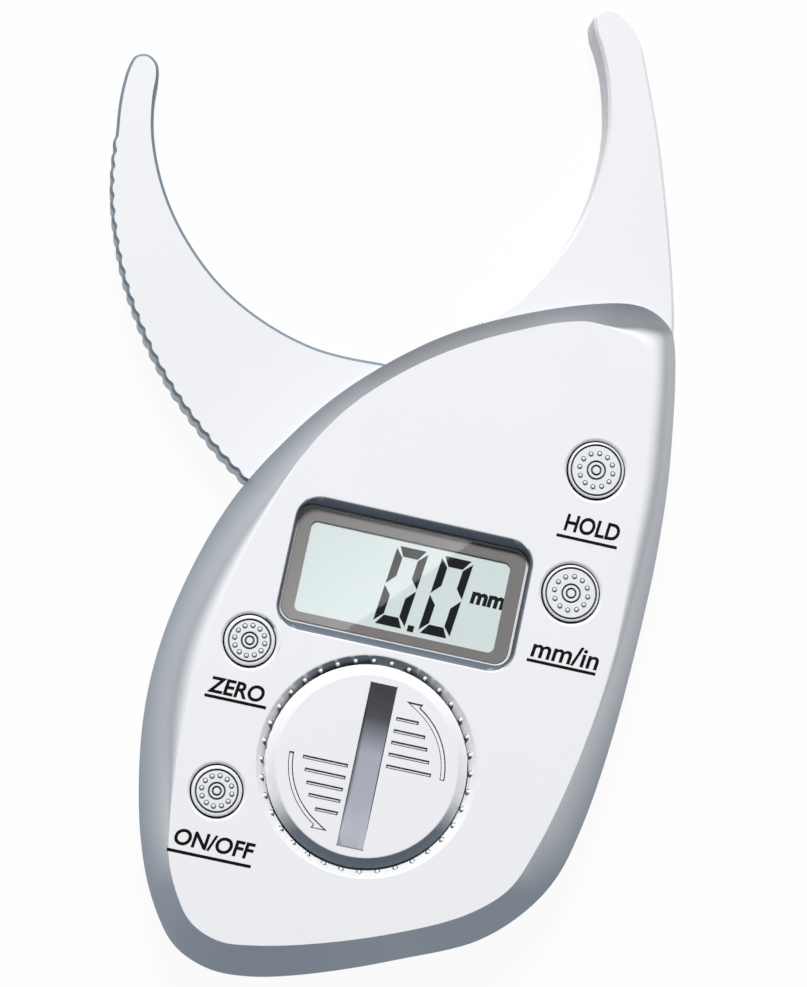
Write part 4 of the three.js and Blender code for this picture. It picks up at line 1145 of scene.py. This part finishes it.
class CALIPER_OT_buttons(bpy.types.Operator):
    """Four push buttons with ring grooves and a circle of pips"""
    bl_idname = "caliper.buttons"
    bl_label = "Buttons"

    def execute(self, context):
        size = sizes()
        for name in CONTROLS:
            node = f"{name}_button"
            low, high = box_of(node)
            centre = (low + high) / 2
            radius = (high.x - low.x) / 2 - FLANGE
            scale = radius / WIDE_RADIUS
            rings = [radius - RING_INSET[name], *(ring * scale for ring in MIDDLE_RINGS)]
            profile = self.profile(radius, rings, low.z, high.z)
            bm = spun(profile, centre.x, centre.y, BUTTON_STEPS)
            for face in bm.faces:
                place = face.calc_center_median() / MM
                out, depth = (place - centre).xy.length, high.z - place.z
                near = any(abs(out - ring) < size.ring_line / MM / 2 + TOUCH for ring in rings)
                # Groove floors and the lower side of the cap, in the gap, take painted shade
                grooved = near and DARK_FROM < depth < DARK_TO
                if grooved or (out > radius - SIDE_SKIN and depth > SIDE_TOP):
                    face.material_index = 1
            for i in range(size.pips):
                angle = math.tau * i / size.pips
                x = centre.x + PIP_RING * scale * math.cos(angle)
                y = centre.y + PIP_RING * scale * math.sin(angle)
                self.add_pip(bm, x, y, high.z, size.pip)
            shade(bm, 35)
            placed(
                f"{name}_button_cap", bm, [button_plastic(), painted_gap_shade()], node,
                [node],
            )
        return {"FINISHED"}

    def profile(self, radius, rings, base, top):
        """Half section of a cap: boss, hollow back, flange, side, and a grooved, dished face."""
        half = sizes().ring_line / MM / 2
        roof, dish, sunk = top - ROOF_DEPTH, top - DISH_DEPTH, top - GROOVE_SINK
        section = [
            (0, base), (BOSS, base), (BOSS, roof), (radius - SKIN, roof), (radius - SKIN, base),
            (radius + FLANGE, base), (radius + FLANGE, base + FLANGE_HEIGHT),
            (radius, base + FLANGE_HEIGHT), (radius, top - BRIM_LOW),
            (radius - BRIM_STEP, top - BRIM_STEP), (radius - BRIM_WIDE, top),
        ]
        before = top
        for ring, after in zip(rings, (dish, dish, top)):
            section += [
                (ring + half + LIP, before), (ring + half, before - LIP),
                (ring + half - DRAFT, sunk), (ring - half + DRAFT, sunk),
                (ring - half, after - LIP), (ring - half - LIP, after),
            ]
            before = after
        return section + [(0, top + CROWN)]

    def add_pip(self, bm, x, y, top, radius):
        """Small dome on a disc of painted shadow."""
        made = bmesh.ops.create_uvsphere(bm, u_segments=12, v_segments=6, radius=radius)["verts"]
        bmesh.ops.scale(bm, verts=made, vec=(1, 1, PIP_FLATNESS))
        bmesh.ops.translate(bm, verts=made, vec=Vector((x, y, top - PIP_SINK)) * MM)
        foot = Vector((x, y, top - PIP_FOOT_SINK))
        add_shadow_disc(bm, radius + PIP_FOOT * MM, PIP_FOOT_THICK, foot)


# Display, in millimetres

PANE_CORNER, PANE_EDGE = 3.0, 0.25
# Printed border: its drop below the pane and its thickness, then sizes with their corner radius
BORDER_DROP, BORDER_THICK = 0.14, 0.08
OPENING, OPENING_MIDDLE = (40.0, 18.1, 1.3), (-0.2, -20.35)
BORDER = (45.5, 22.4, 2.8)
# Front glass on the liquid crystal panel, and its gap below the pane
FRONT_GLASS, GLASS_GAP = (42.0, 18.9, 0.6), 0.45
# Digits, with the width of their strokes, the cuts at the ends and the gap in the middle
DIGIT_WIDTH, DIGIT_HEIGHT = 6.3, 15.8
DIGIT_PLACES = ((-0.5, -20.5), (8.55, -20.5))
DIGIT_SLANT = 0.115
STROKE_ACROSS, STROKE_UP = 1.6, 1.95
STROKE_MITRE, STROKE_JOINT, STROKE_SPLIT, STROKE_FOOT, STROKE_TRIM = 0.5, 0.1, 0.15, 2.0, 0.25
# Corners of the decimal point, then the unit: its letters, left, right, base line and height
POINT = [(2.35, -28.65), (3.6, -28.65), (3.7, -27.4), (2.45, -27.4)]
UNIT = ("mm", 13.3, 20.1, -20.45, 2.45)
UNIT_SLANT, UNIT_WEIGHT = 0.1, 0.045


class CALIPER_OT_display(bpy.types.Operator):
    """Window, printed border, front glass and segments of the display"""
    bl_idname = "caliper.display"
    bl_label = "Display"

    def execute(self, context):
        c = colours()
        low, high = box_of("display_window")
        centre = (low + high) / 2
        bm = rounded_sheet(high.x - low.x, high.y - low.y, PANE_CORNER, centre.x, centre.y, low.z)
        thicken(bm, bm.faces[:], high.z - low.z)
        rim = [e for e in bm.edges if all(v.co.z > centre.z * MM for v in e.verts)]
        bmesh.ops.bevel(
            bm, geom=rim, offset=PANE_EDGE * MM, offset_type="OFFSET", segments=2, profile=0.5,
            affect="EDGES", material=-1, clamp_overlap=False, loop_slide=True,
        )
        shade(bm, 20)
        placed(
            "display_window_pane", bm, [material_of("clear_acrylic", clear_acrylic)], "case",
            ["display_window"],
        )

        bm = rounded_sheet(*BORDER, centre.x, centre.y, low.z - BORDER_DROP)
        inner = rounded_sheet(*OPENING, *OPENING_MIDDLE, low.z - BORDER_DROP)
        hole = mesh_of("opening", inner)
        bm.from_mesh(hole)
        bpy.data.meshes.remove(hole)
        bmesh.ops.delete(bm, geom=bm.faces[:], context="FACES_ONLY")
        bmesh.ops.bridge_loops(bm, edges=bm.edges[:])
        thicken(bm, bm.faces[:], BORDER_THICK)
        placed(
            "display_border_print", bm, [material_of("border_ink", printed, c.border, 0.05)],
            "case",
        )

        glass, panel = low.z - GLASS_GAP, box_of("lcd_panel")[1].z
        bm = rounded_sheet(*FRONT_GLASS, centre.x, centre.y, panel)
        thicken(bm, bm.faces[:], glass - panel)
        placed("display_front_glass", bm, [display_ground()], "case")
        bm = bmesh.new()
        for x, y in DIGIT_PLACES:
            self.add_zero(bm, x, y, glass)
        add_plate(bm, POINT, glass, glass + sizes().print_height / MM)
        add_words(bm, *UNIT, glass, UNIT_SLANT, UNIT_WEIGHT, "m")
        placed(
            "display_segments", bm, [material_of("crystal_segment", printed, c.segment, 0.05)],
            "case",
        )
        return {"FINISHED"}

    def add_zero(self, bm, x, y, z):
        """The six lit segments of a zero, slanted."""
        w, h = DIGIT_WIDTH / 2, DIGIT_HEIGHT / 2
        inner, bar = w - STROKE_ACROSS, h - STROKE_UP
        wide, narrow = w - STROKE_MITRE, inner - STROKE_JOINT
        across = [(-wide, h), (wide, h), (narrow, bar), (-narrow, bar)]
        upright = [
            (w, h - STROKE_MITRE), (w, STROKE_SPLIT), (inner, STROKE_FOOT),
            (inner, bar - STROKE_TRIM),
        ]
        shapes = [across, [(px, -py) for px, py in across]]
        for sx in (1, -1):
            for sy in (1, -1):
                shapes.append([(px * sx, py * sy) for px, py in upright])
        for shape in shapes:
            slanted = [(x + px + py * DIGIT_SLANT, y + py) for px, py in shape]
            add_plate(bm, slanted, z, z + sizes().print_height / MM)


# Words on the face: words, left, right, base line, height, measure letter and weight, then the
# ends and the height of the underline, in millimetres
LABELS = [
    ("HOLD", 28.1, 39.2, -2.8, 3.4, "H", 0.026, 27.0, 39.2, -4.1),
    ("mm/in", 26.7, 40.2, -28.4, 2.6, "m", 0.018, 26.2, 40.0, -29.25),
    ("ZERO", -33.2, -22.2, -48.35, 3.15, "Z", 0.026, -33.5, -21.4, -49.2),
    ("ON/OFF", -33.3, -17.7, -78.05, 3.15, "N", 0.026, -34.2, -17.8, -79.45),
]
LABEL_SLANT = 0.12


class CALIPER_OT_labels(bpy.types.Operator):
    """Printed words beside the buttons, each with a line under it"""
    bl_idname = "caliper.labels"
    bl_label = "Labels"

    def execute(self, context):
        size = sizes()
        bm = bmesh.new()
        for words, left, right, base, tall, measure, weight, start, end, line in LABELS:
            add_words(bm, words, left, right, base, tall, FACE_TOP, LABEL_SLANT, weight, measure)
            place = Matrix.Translation(((start + end) / 2 * MM, line * MM, 0))
            high = FACE_TOP + size.print_height / MM
            add_bar(bm, end - start, size.underline / MM, FACE_TOP, high, place)
        placed("face_labels", bm, [printing_ink()], "case")
        return {"FINISHED"}


# Case screws, in millimetres

# Heights of the seat, side and slope of the head over its end
SCREW_SEAT, SCREW_SIDE, SCREW_SLOPE = 1.8, 0.75, 0.25
# Flat end and rounding of the head, as shares of its radius
END_SHARE, ROUND_SHARE = 0.6, 0.86
# Radius of the shank, and the run and rise of its point
SHANK, POINT_RUN, POINT_RISE = 1.3, 0.3, 0.6
# Cross: its length and width, its overrun and depth, and the turn between screws in degrees
CROSS, CROSS_OVERRUN, CROSS_DEPTH, SCREW_TURN = (2.6, 0.6), 0.5, 0.9, 20
SCREW_STEPS = 48


class CALIPER_OT_screws(bpy.types.Operator):
    """Cross-recessed heads of the case screws"""
    bl_idname = "caliper.screws"
    bl_label = "Case screws"

    def execute(self, context):
        for i in range(1, 6):
            node = f"case_screw_{i}"
            low, high = box_of(node)
            centre = (low + high) / 2
            head, seat = (high.x - low.x) / 2, low.z + SCREW_SEAT
            bm = spun([
                (0, high.z), (SHANK - POINT_RUN, high.z), (SHANK, high.z - POINT_RISE),
                (SHANK, seat), (head, seat), (head, low.z + SCREW_SIDE),
                (head * ROUND_SHARE, low.z + SCREW_SLOPE), (head * END_SHARE, low.z), (0, low.z),
            ], centre.x, centre.y, SCREW_STEPS)
            shade(bm)
            piece = placed(f"{node}_body", bm, [plated_steel()], "case", [node])
            cut = bmesh.new()
            for turn in (SCREW_TURN * i, SCREW_TURN * i + 90):
                place = turned_about(centre.x, centre.y, turn)
                add_bar(cut, *CROSS, low.z - CROSS_OVERRUN, low.z + CROSS_DEPTH, place)
            carve(piece, cut)
        return {"FINISHED"}


def carve(piece, cutter):
    """Cuts a closed shape out of a piece."""
    mesh = mesh_of("cutter", cutter)
    tool = linked("cutter", mesh)
    modifier = piece.modifiers.new("cut", "BOOLEAN")
    modifier.operation = "DIFFERENCE"
    modifier.solver = "EXACT"
    modifier.use_self = True
    modifier.object = tool
    bpy.context.view_layer.update()
    graph = bpy.context.evaluated_depsgraph_get()
    result = bpy.data.meshes.new_from_object(piece.evaluated_get(graph))
    piece.modifiers.clear()
    old = piece.data
    piece.data = result
    bpy.data.meshes.remove(old)
    bpy.data.objects.remove(tool)
    bpy.data.meshes.remove(mesh)


class CALIPER_OT_inner_parts(bpy.types.Operator):
    """Finishes of the parts inside the case"""
    bl_idname = "caliper.inner_parts"
    bl_label = "Inner parts"

    def execute(self, context):
        nylon = material_of("black_nylon", moulded, hex_colour("#1B1C1F"), 0.55)
        steel = material_of("spring_steel", bright_metal, hex_colour("#B9BCC0"), 0.25, 0.3)
        finishes = {
            "lcd_panel": display_ground(),
            "main_board": material_of("solder_mask", coated_board, hex_colour("#2A6140")),
            "chip_cover": material_of("black_epoxy", printed, hex_colour("#141416")),
            "angle_sensor_strip": material_of(
                "gold_flashed_copper", bright_metal, hex_colour("#C9A558"), 0.35, 0.4),
            "coin_cell": material_of(
                "nickel_plated_steel", bright_metal, hex_colour("#C2C4C7"), 0.2, 0.6),
        }
        rubber = material_of("conductive_silicone", soft_rubber, hex_colour("#CC8094"))
        for name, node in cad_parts.items():
            if name in finishes:
                finish = finishes[name]
            elif name.startswith("zebra"):
                finish = rubber
            elif "plunger" in name or "switch" in name or name == "battery_holder":
                finish = nylon
            elif "spring" in name or "clip" in name:
                finish = steel
            elif "screw" in name or "washer" in name:
                finish = plated_steel()
            else:
                finish = cover_plastic()
            node.data.materials.clear()
            node.data.materials.append(finish)
        return {"FINISHED"}


# Studio, in millimetres

CAMERA, TARGET = Vector((-47.6, -73.1, 580)), Vector((-3.84, -2.41, 20))
LENS, SENSOR = 105.36, 36
# Straight edge of the glare on the face, then the card that makes it and where its light ends
GLARE_EDGE = (Vector((11.3, -8.8)), Vector((-9.9, -31.8)))
CARD_RISE, CARD_SIZE, CARD_FADE = 350, (110, 62), 0.8
# Main lamp, with its heading as seen from above
KEY_DISTANCE, KEY_SIZE, KEY_HEADING = 6000, 1400, Vector((-0.29, 0.957))
# Floor: its radius in metres, its drop, and the share of plain white that the camera sees
FLOOR_RADIUS, FLOOR_DROP, FLOOR_WHITE = 6, 0.1, 0.95


class CALIPER_OT_stage(bpy.types.Operator):
    """Camera, lamps, room light and floor"""
    bl_idname = "caliper.stage"
    bl_label = "Stage"

    def execute(self, context):
        scene = context.scene
        studio = scene.caliper_studio
        scene.view_settings.view_transform = "Standard"
        self.add_camera(scene)
        aside = KEY_HEADING * math.sin(studio.tilt)
        place = TARGET + Vector((*aside, math.cos(studio.tilt))) * KEY_DISTANCE
        turn = (TARGET - place).to_track_quat("-Z", "Y").to_matrix().to_4x4()
        self.add_lamp("key_lamp", place, (KEY_SIZE, KEY_SIZE), studio.key, turn)
        self.add_card(studio.sheen)
        self.add_room(scene, studio.sky, studio.mirror)
        self.add_floor()
        return {"FINISHED"}

    def add_card(self, power):
        """Card over the window, whose mirrored light is brightest at one edge and fades."""
        rise = CARD_RISE / (CAMERA.z - FACE_TOP)
        start, end = (Vector((p.x, p.y)) + (p - CAMERA.xy) * rise for p in GLARE_EDGE)
        along = (start - end).normalized()
        across = Vector((-along.y, along.x))
        place = (start + end) / 2 + across * CARD_SIZE[1] / 2
        turn = Matrix.Rotation(math.atan2(along.y, along.x), 4, "Z")
        card = self.add_lamp(
            "sheen_card", Vector((*place, FACE_TOP + CARD_RISE)), CARD_SIZE, power, turn)
        card.use_nodes = True
        tree = card.node_tree
        tree.nodes.clear()
        spot = add_node(tree, "ShaderNodeNewGeometry").outputs["Parametric"]
        far = add_node(tree, "ShaderNodeSeparateXYZ", {0: spot}).outputs["Y"]
        faded = add_node(tree, "ShaderNodeMapRange", {
            "Value": far, "From Min": 0.0, "From Max": CARD_FADE, "To Min": 1.0, "To Max": 0.0,
        }).outputs[0]
        shine = add_node(tree, "ShaderNodeEmission", {"Strength": faded}).outputs[0]
        add_node(tree, "ShaderNodeOutputLight", {"Surface": shine})

    def add_camera(self, scene):
        camera = bpy.data.cameras.new("camera")
        camera.lens = LENS
        camera.sensor_width = SENSOR
        camera.clip_start = 0.01
        camera.clip_end = 100
        holder = linked("camera", camera)
        scene.camera = holder
        forward = (TARGET - CAMERA).normalized()
        right = forward.cross(CAMERA_UP).normalized()
        above = right.cross(forward)
        columns = Matrix((right, above, -forward)).transposed()
        holder.matrix_world = Matrix.Translation(CAMERA * MM) @ columns.to_4x4()

    def add_lamp(self, name, place, size, power, turn):
        """Rectangular lamp that shines down before its turn."""
        lamp = bpy.data.lights.new(name, "AREA")
        lamp.shape = "RECTANGLE"
        lamp.size, lamp.size_y = (side * MM for side in size)
        lamp.energy = power
        holder = linked(name, lamp)
        holder.matrix_world = Matrix.Translation(place * MM) @ turn
        holder.visible_camera = False
        return lamp

    def add_room(self, scene, sky, mirror):
        """Dim, slightly blue room that is brighter in mirrors and white to the camera."""
        world = bpy.data.worlds.new("room")
        scene.world = world
        world.use_nodes = True
        tree = world.node_tree
        tree.nodes.clear()
        path = add_node(tree, "ShaderNodeLightPath").outputs
        seen = add_node(tree, "ShaderNodeMath", {
            0: path["Is Camera Ray"], 1: path["Is Transmission Ray"]}, operation="MAXIMUM")
        level = add_node(tree, "ShaderNodeMix", {
            "Factor": path["Is Glossy Ray"], "A": sky, "B": mirror})
        dim = add_node(tree, "ShaderNodeBackground", {
            "Color": hex_colour("#E8EDF6"), "Strength": level.outputs["Result"]})
        white = add_node(tree, "ShaderNodeBackground", {"Color": (1, 1, 1), "Strength": 1.0})
        both = add_node(tree, "ShaderNodeMixShader", {
            0: seen.outputs[0], 1: dim.outputs[0], 2: white.outputs[0]})
        add_node(tree, "ShaderNodeOutputWorld", {"Surface": both.outputs[0]})

    def add_floor(self):
        bm = bmesh.new()
        bmesh.ops.create_circle(bm, cap_ends=True, segments=64, radius=FLOOR_RADIUS)
        bmesh.ops.translate(bm, verts=bm.verts, vec=(0, 0, -FLOOR_DROP * MM))
        floor = linked("floor", mesh_of("floor", bm))
        floor.data.materials.append(material_of("pale_floor", pale_floor))


def pale_floor(tree):
    """Matt floor that takes the shadow and looks nearly white in view and in mirrors."""
    path = add_node(tree, "ShaderNodeLightPath").outputs
    seen = path["Is Camera Ray"]
    for ray in ("Is Glossy Ray", "Is Transmission Ray"):
        seen = add_node(tree, "ShaderNodeMath", {
            0: seen, 1: path[ray]}, operation="MAXIMUM").outputs[0]
    share = add_node(tree, "ShaderNodeMath", {
        0: seen, 1: FLOOR_WHITE}, operation="MULTIPLY").outputs[0]
    matt = add_node(tree, "ShaderNodeBsdfDiffuse", {"Color": hex_colour("#E0E2E6")}).outputs[0]
    white = add_node(tree, "ShaderNodeEmission", {"Color": (1, 1, 1)}).outputs[0]
    return add_node(tree, "ShaderNodeMixShader", {0: share, 1: matt, 2: white}).outputs[0]


PIECES = (
    CALIPER_OT_inner_parts, CALIPER_OT_front_cover, CALIPER_OT_back_cover,
    CALIPER_OT_moving_jaw, CALIPER_OT_battery_lid, CALIPER_OT_beads, CALIPER_OT_buttons,
    CALIPER_OT_display, CALIPER_OT_labels, CALIPER_OT_screws, CALIPER_OT_stage,
)


class CALIPER_PT_panel(bpy.types.Panel):
    """Buttons that build the caliper piece by piece"""
    bl_label = "Skinfold caliper"
    bl_idname = "CALIPER_PT_panel"
    bl_space_type = "VIEW_3D"
    bl_region_type = "UI"
    bl_category = "Caliper"

    def draw(self, context):
        for operator in PIECES:
            self.layout.operator(operator.bl_idname, text=operator.bl_label)


GROUPS = (CaliperColours, CaliperSizes, CaliperStudio)


def register():
    for one in (*GROUPS, *PIECES, CALIPER_PT_panel):
        bpy.utils.register_class(one)
    bpy.types.Scene.caliper_colours = PointerProperty(type=CaliperColours)
    bpy.types.Scene.caliper_sizes = PointerProperty(type=CaliperSizes)
    bpy.types.Scene.caliper_studio = PointerProperty(type=CaliperStudio)


def unregister():
    del bpy.types.Scene.caliper_studio
    del bpy.types.Scene.caliper_sizes
    del bpy.types.Scene.caliper_colours
    for one in reversed((*GROUPS, *PIECES, CALIPER_PT_panel)):
        bpy.utils.unregister_class(one)


def main():
    register()
    for operator in PIECES:
        group, name = operator.bl_idname.split(".")
        getattr(getattr(bpy.ops, group), name)()


if __name__ == "__main__":
    main()
